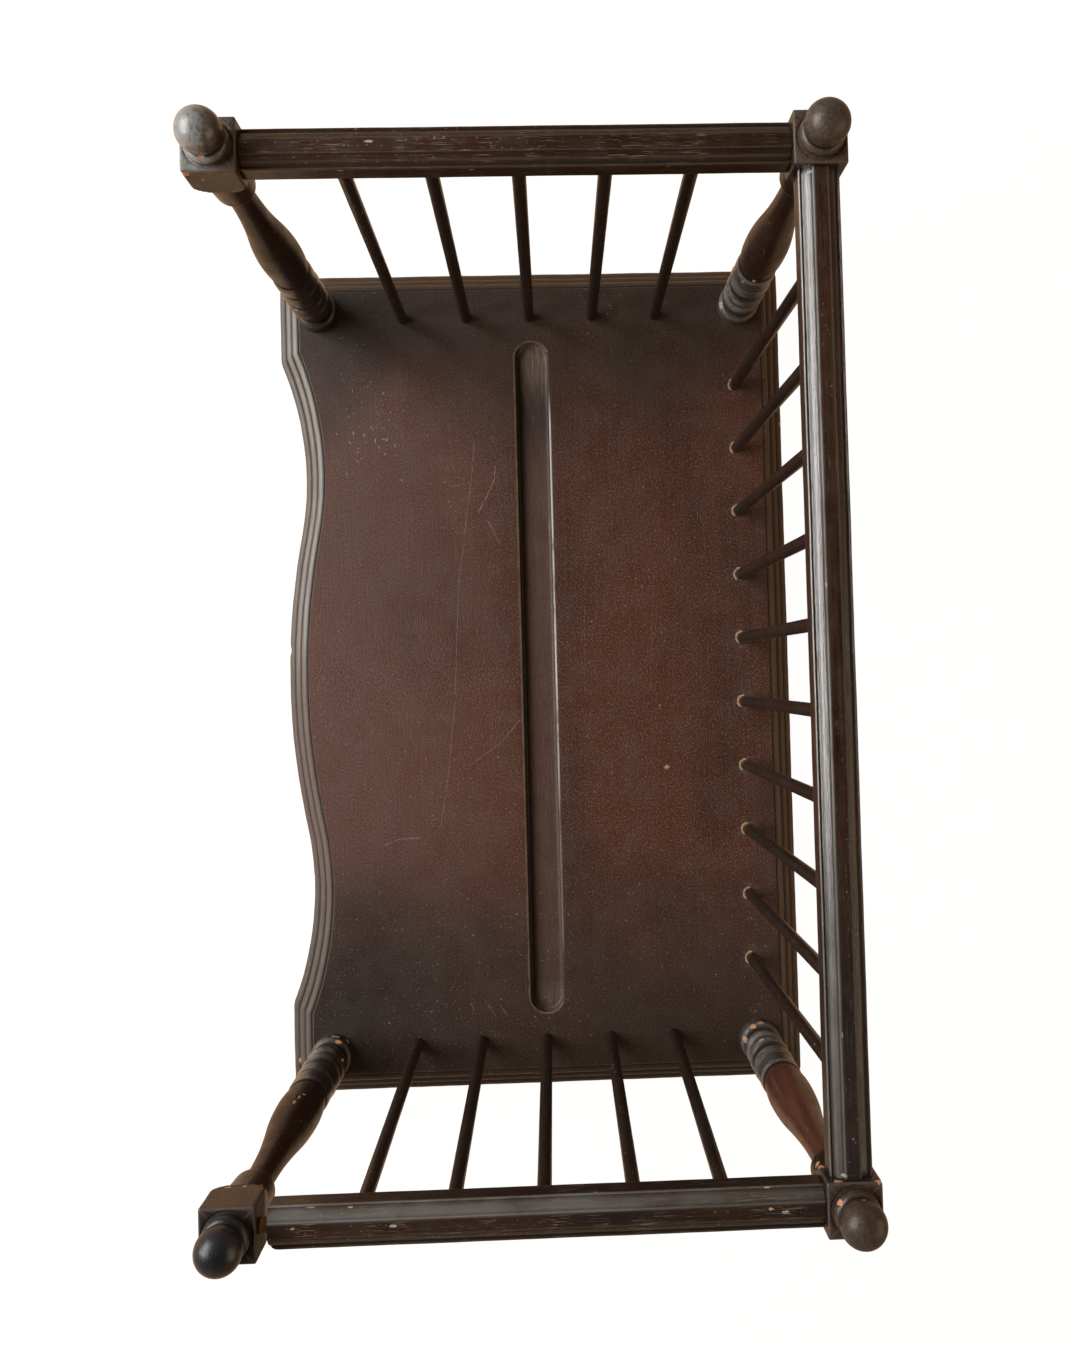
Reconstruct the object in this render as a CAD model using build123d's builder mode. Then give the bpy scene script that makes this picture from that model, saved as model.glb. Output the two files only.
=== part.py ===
from build123d import *
import math
import os

# A turned-wood book holder: a moulded base board with a spindle gallery on its two ends and its back.
# +X runs along the board, the open serpentine front faces -Y, and z = 0 is the board's underside.
# All lengths are in millimetres.

# Base board
board_length = 492.0
board_depth = 305.0
board_thickness = 20.0
end_overhang = 26.8            # board end to the line of the posts
front_overhang = 26.0          # front edge to the front posts
back_overhang = 27.8           # back edge to the back posts

# Reeded edge: round-nosed steps that climb from the edge to the flat field
reed_count = 3
reed_run = 4.7
reed_drop = 5.6
reed_nose_share = 0.77         # nose radius against the smaller side of a reed
field_step = 0.8               # the field stands this much above the last reed
field_nose_share = 0.5         # its arris against that step

# Serpentine front: a straight shoulder at each end, a hollow beside it, a crest in the middle
shoulder_length = 53.0
hollow_depth = 13.8
hollow_place_share = 0.637     # deepest point of the hollow, against the shoulder's distance from the middle
crest_setback = 1.6
kink_round = 2.0               # corner between shoulder and hollow, at the field

# Stopped groove along the middle of the field
groove_width = 19.4
groove_depth = 5.5
groove_end_margin = 46.5       # from the board's end to the groove's end

# Corner posts, one turning each, listed from the tenon up
tenon_radius = 6.35
tenon_length = 13.0
foot_radius = 11.8
foot_height = 9.0
foot_nose = 2.5
cove_radius = 9.9
cove_height = 4.0
foot_bead_radius = 11.4
foot_bead_height = 13.5
band_radius = 10.7
lower_band_height = 10.5
upper_band_height = 17.0
quirk_depth = 0.9              # thin grooves that part the bands
quirk_width = 1.8
cup_radius = 11.0
cup_height = 14.0
cup_nose = 4.0
vase_foot_radius = 9.9
belly_radius = 11.35
belly_rise = 19.0              # from the cup to the widest place of the vase
neck_radius = 6.2
neck_rise = 71.0               # from the widest place to the narrowest
taper_turn_share = 0.39        # where the taper turns from round to hollow
bell_rise = 9.0                # from the narrowest place to the foot of the bell
bell_neck_radius = 6.9         # the neck where it meets the bell
bell_radius = 9.4              # turned bell between the neck and the square block
bell_nose = 1.6
bell_top_radius = 10.7
bell_height = 19.8
block_width = 22.6
block_height = 19.6
block_bottom_radius = 12.8
block_turned_height = 6.0      # lower corners turned away over this height
block_arris = 0.6
finial_ring_radius = 9.6
finial_ring_height = 5.2
finial_neck_radius = 7.8
finial_neck_height = 1.0
ball_radius = 9.4
ball_half_height = 8.6
ball_side_share = 0.91         # radius of the ball's side against its half height; the crown is flatter

# Rails
rail_width = 17.5
rail_side_height = 8.9         # plain sides, up to the edge bead
rail_crown_height = 3.4        # moulded top above the sides
rail_drop = 2.2                # rail top below the block top

# Spindles
spindle_radius = 3.175
back_spindle_count = 10
end_spindle_count = 5
back_first_gap = 47.75         # post line to the first spindle
end_first_gap = 50.0
back_row_inset = 2.9           # the rows stand inside the rail lines at the board, so spindles lean out
end_row_inset = 4.4
board_seat = 8.0
rail_seat = 7.0

# Dowel pins between rails and post blocks
dowel_radius = 3.0
dowel_in_rail = 12.0
dowel_web = 0.8                # wood left between the two pins that meet in a back block

glue_gap = 0.1                 # radial room in every socket
overrun = 2.0                  # cuts run this much past a face

# Rail top, from the edge in: shares of half the width and of the crown's height
bead_crest_shares = (0.94, 0.15)
bead_inner_shares = (0.88, 0.0)
slope_foot_shares = (0.82, 0.03)
slope_middle_shares = (0.67, 0.45)
slope_head_shares = (0.47, 0.74)
strip_foot_shares = (0.41, 0.78)
strip_edge_shares = (0.39, 1.0)

# Levels and places that follow from the sizes
post_x = board_length / 2 - end_overhang
front_y = front_overhang - board_depth / 2
back_y = board_depth / 2 - back_overhang

cove_top = foot_height + cove_height
foot_bead_top = cove_top + foot_bead_height
lower_band_top = foot_bead_top + lower_band_height
upper_band_top = lower_band_top + upper_band_height
cup_top = upper_band_top + cup_height
belly_level = cup_top + belly_rise
neck_level = belly_level + neck_rise
bell_foot = neck_level + bell_rise
block_bottom = bell_foot + bell_height
block_top = block_bottom + block_height
ring_top = block_top + finial_ring_height
finial_neck_top = ring_top + finial_neck_height
ball_side = ball_side_share * ball_half_height
ball_level = finial_neck_top + math.sqrt(ball_side**2 - (finial_neck_radius - ball_radius + ball_side) ** 2)
ball_top = ball_level + ball_half_height

block_half = block_width / 2
rail_top = board_thickness + block_top - rail_drop
rail_underside = rail_top - rail_crown_height - rail_side_height
dowel_level = (rail_top + rail_underside) / 2
dowel_in_block = block_half - dowel_radius - dowel_web

os.makedirs("parts", exist_ok=True)


def board_outline(inset):
    """Outline of the board, every edge moved in by the inset; the front is arcs that meet in a tangent."""
    kink_x = board_length / 2 - shoulder_length
    hollow_x = hollow_place_share * kink_x
    hollow_radius = ((kink_x - hollow_x) ** 2 + hollow_depth**2) / (2 * hollow_depth)
    front_line = -board_depth / 2
    hollow_y = front_line + hollow_depth - hollow_radius
    lift = crest_setback - hollow_depth + hollow_radius
    crest_radius = (hollow_x**2 + lift**2 - hollow_radius**2) / (2 * (hollow_depth - crest_setback))
    crest_y = front_line + crest_setback + crest_radius

    side_x = board_length / 2 - inset
    front = front_line + inset
    back = board_depth / 2 - inset
    reach = hollow_radius + inset
    edge_x = hollow_x + math.sqrt(reach**2 - (front - hollow_y) ** 2)
    centres_apart = math.hypot(hollow_x, crest_y - hollow_y)
    turn_x = hollow_x - reach * hollow_x / centres_apart
    turn_y = hollow_y + reach * (crest_y - hollow_y) / centres_apart
    kink_radius = kink_round + reed_count * reed_run - inset

    with BuildSketch() as outline:
        with BuildLine():
            Polyline((edge_x, front), (side_x, front), (side_x, back), (-side_x, back), (-side_x, front),
                     (-edge_x, front))
            ThreePointArc((-edge_x, front), (-hollow_x, hollow_y + reach), (-turn_x, turn_y))
            ThreePointArc((-turn_x, turn_y), (0, front_line + crest_setback + inset), (turn_x, turn_y))
            ThreePointArc((turn_x, turn_y), (hollow_x, hollow_y + reach), (edge_x, front))
        make_face()
        kinks = outline.vertices().group_by(Axis.Y)[0].sort_by(Axis.X)[1:-1]
        fillet(kinks, radius=kink_radius)
    return outline.sketch


def spindle_line(foot_x, foot_y, head_x, head_y):
    """Plane square to a leaning spindle on the floor of its board socket, and the spindle's length."""
    foot = Vector(foot_x, foot_y, board_thickness)
    head = Vector(head_x, head_y, rail_underside)
    lean = (head - foot).normalized()
    length = (head - foot).length + board_seat + rail_seat
    return Plane(origin=foot - lean * board_seat, z_dir=lean), length


def spread(first, last, count):
    """Evenly spaced places from the first to the last."""
    return [first + (last - first) * i / (count - 1) for i in range(count)]


back_places = spread(back_first_gap - post_x, post_x - back_first_gap, back_spindle_count)
end_places = spread(front_y + end_first_gap, back_y - end_first_gap, end_spindle_count)
gallery = {
    "left": [spindle_line(end_row_inset - post_x, y, -post_x, y) for y in end_places],
    "right": [spindle_line(post_x - end_row_inset, y, post_x, y) for y in end_places],
    "back": [spindle_line(x, back_y - back_row_inset, x, back_y) for x in back_places],
}

# A rail runs from one post line to the other: its start, its direction and the distance between the posts
rails = {
    "left": (Vector(-post_x, front_y, 0), Vector(0, 1, 0), back_y - front_y),
    "right": (Vector(post_x, front_y, 0), Vector(0, 1, 0), back_y - front_y),
    "back": (Vector(-post_x, back_y, 0), Vector(1, 0, 0), 2 * post_x),
}


def cross_plane(point, direction, level):
    """Plane square to a level direction, with its own y upwards."""
    return Plane(origin=point + Vector(0, 0, level), x_dir=Vector(0, 0, 1).cross(direction), z_dir=direction)


def dowel_planes(side):
    """For each end of a rail, the plane of its dowel's tip inside the block, facing into the rail."""
    start, along, distance = rails[side]
    tip = along * (block_half - dowel_in_block)
    end = start + along * distance
    return [cross_plane(start + tip, along, dowel_level), cross_plane(end - tip, along * -1, dowel_level)]


# Base board
with BuildPart() as base_board:
    for step in range(reed_count):
        with BuildSketch():
            add(board_outline(step * reed_run))
        extrude(amount=board_thickness - field_step - (reed_count - 1 - step) * reed_drop)
        nose = reed_nose_share * min(reed_run, reed_drop)
        fillet(base_board.faces().sort_by(Axis.Z)[-1].edges(), radius=nose)
    with BuildSketch():
        add(board_outline(reed_count * reed_run))
    extrude(amount=board_thickness)
    fillet(base_board.faces().sort_by(Axis.Z)[-1].edges(), radius=field_nose_share * field_step)
    with BuildSketch(Plane.XY.offset(board_thickness - groove_depth)):
        SlotOverall(board_length - 2 * groove_end_margin, groove_width)
    extrude(amount=groove_depth + overrun, mode=Mode.SUBTRACT)
    with BuildSketch(Plane.XY.offset(board_thickness - tenon_length)):
        with Locations((-post_x, front_y), (post_x, front_y), (-post_x, back_y), (post_x, back_y)):
            Circle(tenon_radius + glue_gap)
    extrude(amount=tenon_length + overrun, mode=Mode.SUBTRACT)
    for row in gallery.values():
        for socket_floor, _ in row:
            with BuildSketch(socket_floor):
                Circle(spindle_radius + glue_gap)
            extrude(amount=board_seat + overrun, mode=Mode.SUBTRACT)
base_board.part.label = "base_board"
export_step(base_board.part, "parts/base_board.step")


# Corner posts
def turned_outline():
    """Half outline of the turning from the tenon to the block, as radius and height above the board."""
    quirk_radius = band_radius - quirk_depth
    quirk_half = quirk_width / 2
    turn_radius = belly_radius - taper_turn_share * (belly_radius - neck_radius)
    turn_level = belly_level + taper_turn_share * neck_rise
    bead_middle = (cove_top + foot_bead_top) / 2
    cup_shoulder = ((cup_radius + vase_foot_radius) / 2, cup_top - cup_nose / 4)
    with BuildSketch() as outline:
        with BuildLine():
            Polyline((0, -tenon_length), (tenon_radius, -tenon_length), (tenon_radius, 0), (foot_radius, 0),
                     (foot_radius, foot_height - foot_nose))
            TangentArc((foot_radius, foot_height - foot_nose), (foot_radius - foot_nose, foot_height),
                       tangent=(0, 1))
            Polyline((foot_radius - foot_nose, foot_height), (cove_radius - quirk_depth, foot_height),
                     (cove_radius, cove_top), (quirk_radius, cove_top))
            ThreePointArc((quirk_radius, cove_top), (foot_bead_radius, bead_middle),
                          (quirk_radius, foot_bead_top))
            Polyline((quirk_radius, foot_bead_top), (band_radius, foot_bead_top + quirk_half),
                     (band_radius, lower_band_top - quirk_half), (quirk_radius, lower_band_top),
                     (band_radius, lower_band_top + quirk_half), (band_radius, upper_band_top - quirk_half),
                     (quirk_radius, upper_band_top), (cup_radius, upper_band_top + quirk_half),
                     (cup_radius, cup_top - cup_nose))
            ThreePointArc((cup_radius, cup_top - cup_nose), cup_shoulder, (vase_foot_radius, cup_top))
            TangentArc((belly_radius, belly_level), (vase_foot_radius, cup_top), tangent=(0, -1))
            TangentArc((belly_radius, belly_level), (turn_radius, turn_level), tangent=(0, 1))
            TangentArc((neck_radius, neck_level), (turn_radius, turn_level), tangent=(0, -1))
            TangentArc((neck_radius, neck_level), (bell_neck_radius, bell_foot), tangent=(0, 1))
            Line((bell_neck_radius, bell_foot), (bell_radius - bell_nose, bell_foot))
            TangentArc((bell_radius - bell_nose, bell_foot), (bell_radius, bell_foot + bell_nose),
                       tangent=(1, 0))
            Polyline((bell_radius, bell_foot + bell_nose), (bell_top_radius, block_bottom), (0, block_bottom),
                     (0, -tenon_length))
        make_face()
    return outline.sketch


def shoulder_outline():
    """Half outline of the turned shoulder that rounds the lower corners of the block."""
    corner = block_half * math.sqrt(2)
    turned_top = block_bottom + block_turned_height
    with BuildSketch() as outline:
        with BuildLine():
            TangentArc((corner, turned_top), (block_bottom_radius, block_bottom), tangent=(0, -1))
            Polyline((corner, turned_top), (corner + overrun, turned_top), (corner + overrun, block_top),
                     (0, block_top), (0, block_bottom), (block_bottom_radius, block_bottom))
        make_face()
    return outline.sketch


def finial_outline():
    """Half outline of the ring, the neck and the flattened ball on top of the block."""
    ring_middle = (block_top + ring_top) / 2
    side_x = ball_radius - ball_side
    crown = (side_x**2 + ball_half_height**2 - ball_side**2) / (2 * (ball_half_height - ball_side))
    crown_level = ball_top - crown
    turn_share = crown / (crown - ball_side)
    turn = (turn_share * side_x, crown_level + turn_share * (ball_level - crown_level))
    with BuildSketch() as outline:
        with BuildLine():
            Polyline((0, block_top), (finial_neck_radius, block_top))
            ThreePointArc((finial_neck_radius, block_top), (finial_ring_radius, ring_middle),
                          (finial_neck_radius, ring_top))
            Line((finial_neck_radius, ring_top), (finial_neck_radius, finial_neck_top))
            ThreePointArc((finial_neck_radius, finial_neck_top), (ball_radius, ball_level), turn)
            TangentArc((0, ball_top), turn, tangent=(1, 0))
            Line((0, ball_top), (0, block_top))
        make_face()
    return outline.sketch


posts = {
    "post_front_left": (-post_x, front_y),
    "post_front_right": (post_x, front_y),
    "post_back_left": (-post_x, back_y),
    "post_back_right": (post_x, back_y),
}
pins = [plane for side in rails for plane in dowel_planes(side)]
for post_name, (x, y) in posts.items():
    upright = Plane(origin=(x, y, board_thickness), x_dir=(1, 0, 0), z_dir=(0, -1, 0))
    axis = Axis((x, y, 0), (0, 0, 1))
    with BuildPart() as post:
        with BuildSketch(Plane(origin=(x, y, board_thickness + block_bottom))):
            Rectangle(block_width, block_width)
        extrude(amount=block_height)
        with BuildSketch(upright):
            add(shoulder_outline())
        revolve(axis=axis, mode=Mode.INTERSECT)
        fillet(post.faces().sort_by(Axis.Z)[-1].edges(), radius=block_arris)
        with BuildSketch(upright):
            add(turned_outline())
            add(finial_outline())
        revolve(axis=axis)
        for pin in pins:
            if math.hypot(pin.origin.X - x, pin.origin.Y - y) < block_half:
                with BuildSketch(pin):
                    Circle(dowel_radius + glue_gap)
                extrude(amount=dowel_in_block + overrun, mode=Mode.SUBTRACT)
    post.part.label = post_name
    export_step(post.part, f"parts/{post_name}.step")


# Rails
def rail_outline():
    """Cross-section of a rail, its underside at zero: plain sides, edge bead, slope and flat strip on top."""
    half = rail_width / 2

    def place(shares):
        return half * shares[0], rail_side_height + rail_crown_height * shares[1]

    with BuildSketch() as outline:
        with BuildLine() as half_line:
            Polyline((0, 0), (half, 0), (half, rail_side_height))
            ThreePointArc((half, rail_side_height), place(bead_crest_shares), place(bead_inner_shares))
            Line(place(bead_inner_shares), place(slope_foot_shares))
            ThreePointArc(place(slope_foot_shares), place(slope_middle_shares), place(slope_head_shares))
            Polyline(place(slope_head_shares), place(strip_foot_shares), place(strip_edge_shares),
                     (0, rail_side_height + rail_crown_height))
            mirror(half_line.line, about=Plane.YZ)
        make_face()
    return outline.sketch


for side, (start, along, distance) in rails.items():
    with BuildPart() as rail:
        with BuildSketch(cross_plane(start + along * block_half, along, rail_underside)):
            add(rail_outline())
        extrude(amount=distance - block_width)
        for pin in dowel_planes(side):
            with BuildSketch(pin):
                Circle(dowel_radius + glue_gap)
            extrude(amount=dowel_in_block + dowel_in_rail, mode=Mode.SUBTRACT)
        for socket_floor, length in gallery[side]:
            with BuildSketch(socket_floor.offset(length)):
                Circle(spindle_radius + glue_gap)
            extrude(amount=-rail_seat - overrun, mode=Mode.SUBTRACT)
    rail.part.label = f"rail_{side}"
    export_step(rail.part, f"parts/rail_{side}.step")

# Spindles
for side, row in gallery.items():
    for number, (socket_floor, length) in enumerate(row, start=1):
        with BuildPart() as spindle:
            with BuildSketch(socket_floor):
                Circle(spindle_radius)
            extrude(amount=length)
        spindle.part.label = f"spindle_{side}_{number}"
        export_step(spindle.part, f"parts/spindle_{side}_{number}.step")

# Dowel pins, alike, so they share one node
with BuildPart() as rail_dowels:
    for pin in pins:
        with BuildSketch(pin):
            Circle(dowel_radius)
        extrude(amount=dowel_in_block + dowel_in_rail)
rail_dowels.part.label = "rail_dowels"
export_step(rail_dowels.part, "parts/rail_dowels.step")
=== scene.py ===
import bpy
import bmesh
import numpy as np
from math import atan2, degrees, hypot, pi, radians, sqrt
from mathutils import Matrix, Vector


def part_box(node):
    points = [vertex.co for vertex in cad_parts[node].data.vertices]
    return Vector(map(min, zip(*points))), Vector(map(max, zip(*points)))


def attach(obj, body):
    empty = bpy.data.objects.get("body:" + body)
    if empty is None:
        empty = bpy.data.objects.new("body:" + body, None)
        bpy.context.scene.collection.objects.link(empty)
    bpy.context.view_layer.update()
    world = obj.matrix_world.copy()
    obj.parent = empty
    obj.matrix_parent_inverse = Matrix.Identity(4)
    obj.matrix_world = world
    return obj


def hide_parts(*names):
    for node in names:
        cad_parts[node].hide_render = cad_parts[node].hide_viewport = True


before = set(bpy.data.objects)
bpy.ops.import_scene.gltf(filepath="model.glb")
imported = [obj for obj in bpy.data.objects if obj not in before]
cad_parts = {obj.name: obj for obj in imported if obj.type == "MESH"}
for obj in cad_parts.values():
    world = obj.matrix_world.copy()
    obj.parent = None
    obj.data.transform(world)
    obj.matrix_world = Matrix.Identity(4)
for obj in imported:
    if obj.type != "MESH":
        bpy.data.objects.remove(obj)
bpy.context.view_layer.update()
mm = 0.001  # every shape below is worked out in millimetres

boardHigh = np.array(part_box("base_board")[1]) / mm
boardTop = boardHigh[2]
postPlaces = {}
for postName in ("post_front_left", "post_front_right", "post_back_left", "post_back_right"):
    low, high = [np.array(corner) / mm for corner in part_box(postName)]
    postPlaces[postName] = (low + high)[:2] / 2
endX, frontY = postPlaces["post_front_right"]
backY = postPlaces["post_back_right"][1]


# shared: meshes


# quads of a grid whose columns close round the piece: each point with its right, upper right and upper neighbour
def gridQuads(rows, columns):
    index = np.arange(rows * columns).reshape(rows, columns)
    low, high = index[:-1], index[1:]
    return np.stack([low, np.roll(low, -1, 1), np.roll(high, -1, 1), high], axis=-1).reshape(-1, 4)


# one closed skin from a grid in mm; the first and last rows fold onto a point or a line and are welded shut
def makePiece(name, grid, tints, finish, sharp=38.0):
    rows, columns = grid.shape[:2]
    mesh = bpy.data.meshes.new(name)
    mesh.from_pydata((grid.reshape(-1, 3) * mm).tolist(), [], gridQuads(rows, columns).tolist())
    for label, values in tints.items():
        layer = mesh.attributes.new(label, "FLOAT", "POINT")
        layer.data.foreach_set("value", np.broadcast_to(values, (rows, columns)).astype(np.float32).ravel())
    weld = bmesh.new()
    weld.from_mesh(mesh)
    bmesh.ops.remove_doubles(weld, verts=weld.verts, dist=3e-6)
    bmesh.ops.recalc_face_normals(weld, faces=weld.faces)
    weld.to_mesh(mesh)
    weld.free()
    mesh.shade_smooth()
    mesh.set_sharp_from_angle(angle=radians(sharp))
    mesh.materials.append(finish)
    piece = bpy.data.objects.new(name + "_wood", mesh)
    bpy.context.scene.collection.objects.link(piece)
    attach(piece, "root")
    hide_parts(name)


# straight rise from 0 to 1 that begins at start and takes the length over
def ramp(values, start, over):
    return np.clip((values - start) / over, 0, 1)


# bell curve of distance over width; a higher power gives it a flatter top and steeper sides
def bell(distance, width, power=2):
    return np.exp(-(distance / width) ** power)


# sum of three sine waves of unlike length, about -1 to 1, for hand-made unevenness
def ripple(run, wave, phase):
    return (np.sin(2 * pi * run / wave + phase) + 0.6 * np.sin(2 * pi * run / (wave * 0.43) + 2.1 * phase)
            + 0.35 * np.sin(2 * pi * run / (wave * 0.19) + 3.7 * phase)) / 1.95


# circle arc in a plane: centre plus radius times cosine and sine, angles in degrees
def arc(centre, radius, start, stop, count):
    angle = np.radians(np.linspace(start, stop, count))
    return np.stack([centre[0] + radius * np.cos(angle), centre[1] + radius * np.sin(angle)], axis=-1)


# polyline resampled at even steps of its length, then softened by a short bell-shaped average that rounds its corners
def softLine(points, step, soft):
    points = np.asarray(points, float)
    length = np.concatenate([[0], np.cumsum(np.hypot(*np.diff(points, axis=0).T))])
    even = np.linspace(0, length[-1], int(length[-1] / step) + 2)
    line = np.stack([np.interp(even, length, points[:, 0]), np.interp(even, length, points[:, 1])], axis=-1)
    reach = max(1, int(3 * soft / step))
    weight = np.exp(-0.5 * (np.arange(-reach, reach + 1) * step / soft) ** 2)
    weight /= weight.sum()
    padded = np.concatenate([2 * line[:1] - line[1:reach + 1][::-1], line, 2 * line[-1:] - line[-reach - 1:-1][::-1]])
    return np.stack([np.convolve(padded[:, k], weight, "valid") for k in (0, 1)], axis=-1)


# how proud a line is at each point: how far it stands out past the mean of its neighbours, -1 in a hollow to 1
def proudness(line, span, full):
    mean = (np.roll(line, span, 0) + np.roll(line, -span, 0)) / 2
    mean[:span], mean[-span:] = line[:span], line[-span:]
    along = np.gradient(line, axis=0)
    out = np.stack([along[:, 1], -along[:, 0]], axis=-1)
    out /= np.maximum(np.linalg.norm(out, axis=1, keepdims=True), 1e-9)
    return np.clip(((line - mean) * out).sum(1) / full, -1, 1)


# distance from every point of a line to every one of some spots, one column for each spot
def gapsTo(line, spots):
    return np.hypot(*(line[:, None] - spots).transpose(2, 0, 1))


# each chip takes a bell-shaped bite out of the skin towards a point inside; it bares the wood, or leaves chalky filler
def chipAway(grid, chips, core):
    masks = dict(bare=np.zeros(grid.shape[:2]), chalk=np.zeros(grid.shape[:2]))
    for place, reach, depth, kind in chips:
        fall = np.exp(-(((grid - np.array(place)) / np.array(reach)) ** 2).sum(-1))
        towards = core(grid) - grid
        towards /= np.maximum(np.linalg.norm(towards, axis=-1, keepdims=True), 1e-6)
        grid += towards * (depth * fall)[..., None]
        masks[kind] = np.maximum(masks[kind], fall)
    return masks


# shared: finishes

# sizes in mm, two of them along and across the grain; dust: cell, reach and share of small and large specks
woodSizes = dict(
    broad=(150, 55), fibre=(7.0, 0.42), vein=(26, 0.95), mottle=(1.15, 0.8), wear=(9, 3.5), blotch=14.0,
    chipEdge=1.5, fillerEdge=1.1, dust=((2.1, 0.42, 0.5), (5.5, 0.75, 0.35)),
)
# creaseShade: painted shade that darkens creases and hollows
woodTones = dict(creaseShade=(0.005, 0.004, 0.0035), filler=(0.42, 0.40, 0.37), rim=(0.95, 0.41, 0.2, 1.0), rimRough=0.12)


# a node's inputs: a socket is linked, anything else becomes the input's own value
def feed(tree, node, inputs):
    for key, value in inputs.items():
        if isinstance(value, bpy.types.NodeSocket):
            tree.links.new(value, node.inputs[key])
        else:
            node.inputs[key].default_value = value


# new node of a kind, with its settings and inputs
def addNode(tree, kind, inputs=None, **settings):
    node = tree.nodes.new(kind)
    for key, value in settings.items():
        setattr(node, key, value)
    feed(tree, node, inputs or {})
    return node


# one sum on single values, such as the first less the second
def reckon(tree, operation, *values, clamp=False):
    return addNode(tree, "ShaderNodeMath", dict(enumerate(values)), operation=operation, use_clamp=clamp).outputs[0]


# one sum on vectors; a length, a dot product or a distance comes out as a single value
def reckonVector(tree, operation, *values):
    node = addNode(tree, "ShaderNodeVectorMath", dict(enumerate(values)), operation=operation)
    return node.outputs["Value" if operation in ("LENGTH", "DOT_PRODUCT", "DISTANCE") else "Vector"]


# product of all the values, from the left
def times(tree, first, *others):
    for other in others:
        first = reckon(tree, "MULTIPLY", first, other)
    return first


# largest of all the values
def most(tree, first, *others):
    for other in others:
        first = reckon(tree, "MAXIMUM", first, other)
    return first


# smooth step: start below low, end above high, and an S-shaped change between them
def rise(tree, value, low, high, start=0.0, end=1.0):
    return addNode(tree, "ShaderNodeMapRange", {"Value": value, "From Min": low, "From Max": high, "To Min": start,
                   "To Max": end}, interpolation_type="SMOOTHSTEP").outputs[0]


# soft noise whose blobs are about size mm long on each axis
def cloud(tree, at, size, detail=2.0, rough=0.5):
    spread = reckonVector(tree, "DIVIDE", at, tuple(size))
    return addNode(tree, "ShaderNodeTexNoise", {"Vector": spread, "Scale": 1.0, "Detail": detail,
                   "Roughness": rough}).outputs[0]


# first tone, moved by a share of the way towards the second
def blendTone(tree, share, first, second):
    first = (*first, 1.0) if isinstance(first, tuple) else first
    second = (*second, 1.0) if isinstance(second, tuple) else second
    return addNode(tree, "ShaderNodeMix", {0: share, 6: first, 7: second}, data_type="RGBA").outputs[2]


# crisp specks: the middles of random cells about cell mm wide, kept for a share of the cells
def speckle(tree, at, cell, reach, share):
    cells = addNode(tree, "ShaderNodeTexVoronoi", {"Vector": at, "Scale": 1.0 / cell})
    pick = addNode(tree, "ShaderNodeSeparateColor", {0: cells.outputs["Color"]}).outputs[0]
    near = rise(tree, cells.outputs["Distance"], 0.5 * reach / cell, reach / cell, 1.0, 0.0)
    return times(tree, near, rise(tree, pick, 1 - share, 1.02 - share))


# mask that the mesh carries at its points, 0 where it has none of that name
def tint(tree, name):
    return addNode(tree, "ShaderNodeAttribute", attribute_name=name).outputs["Fac"]
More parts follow.
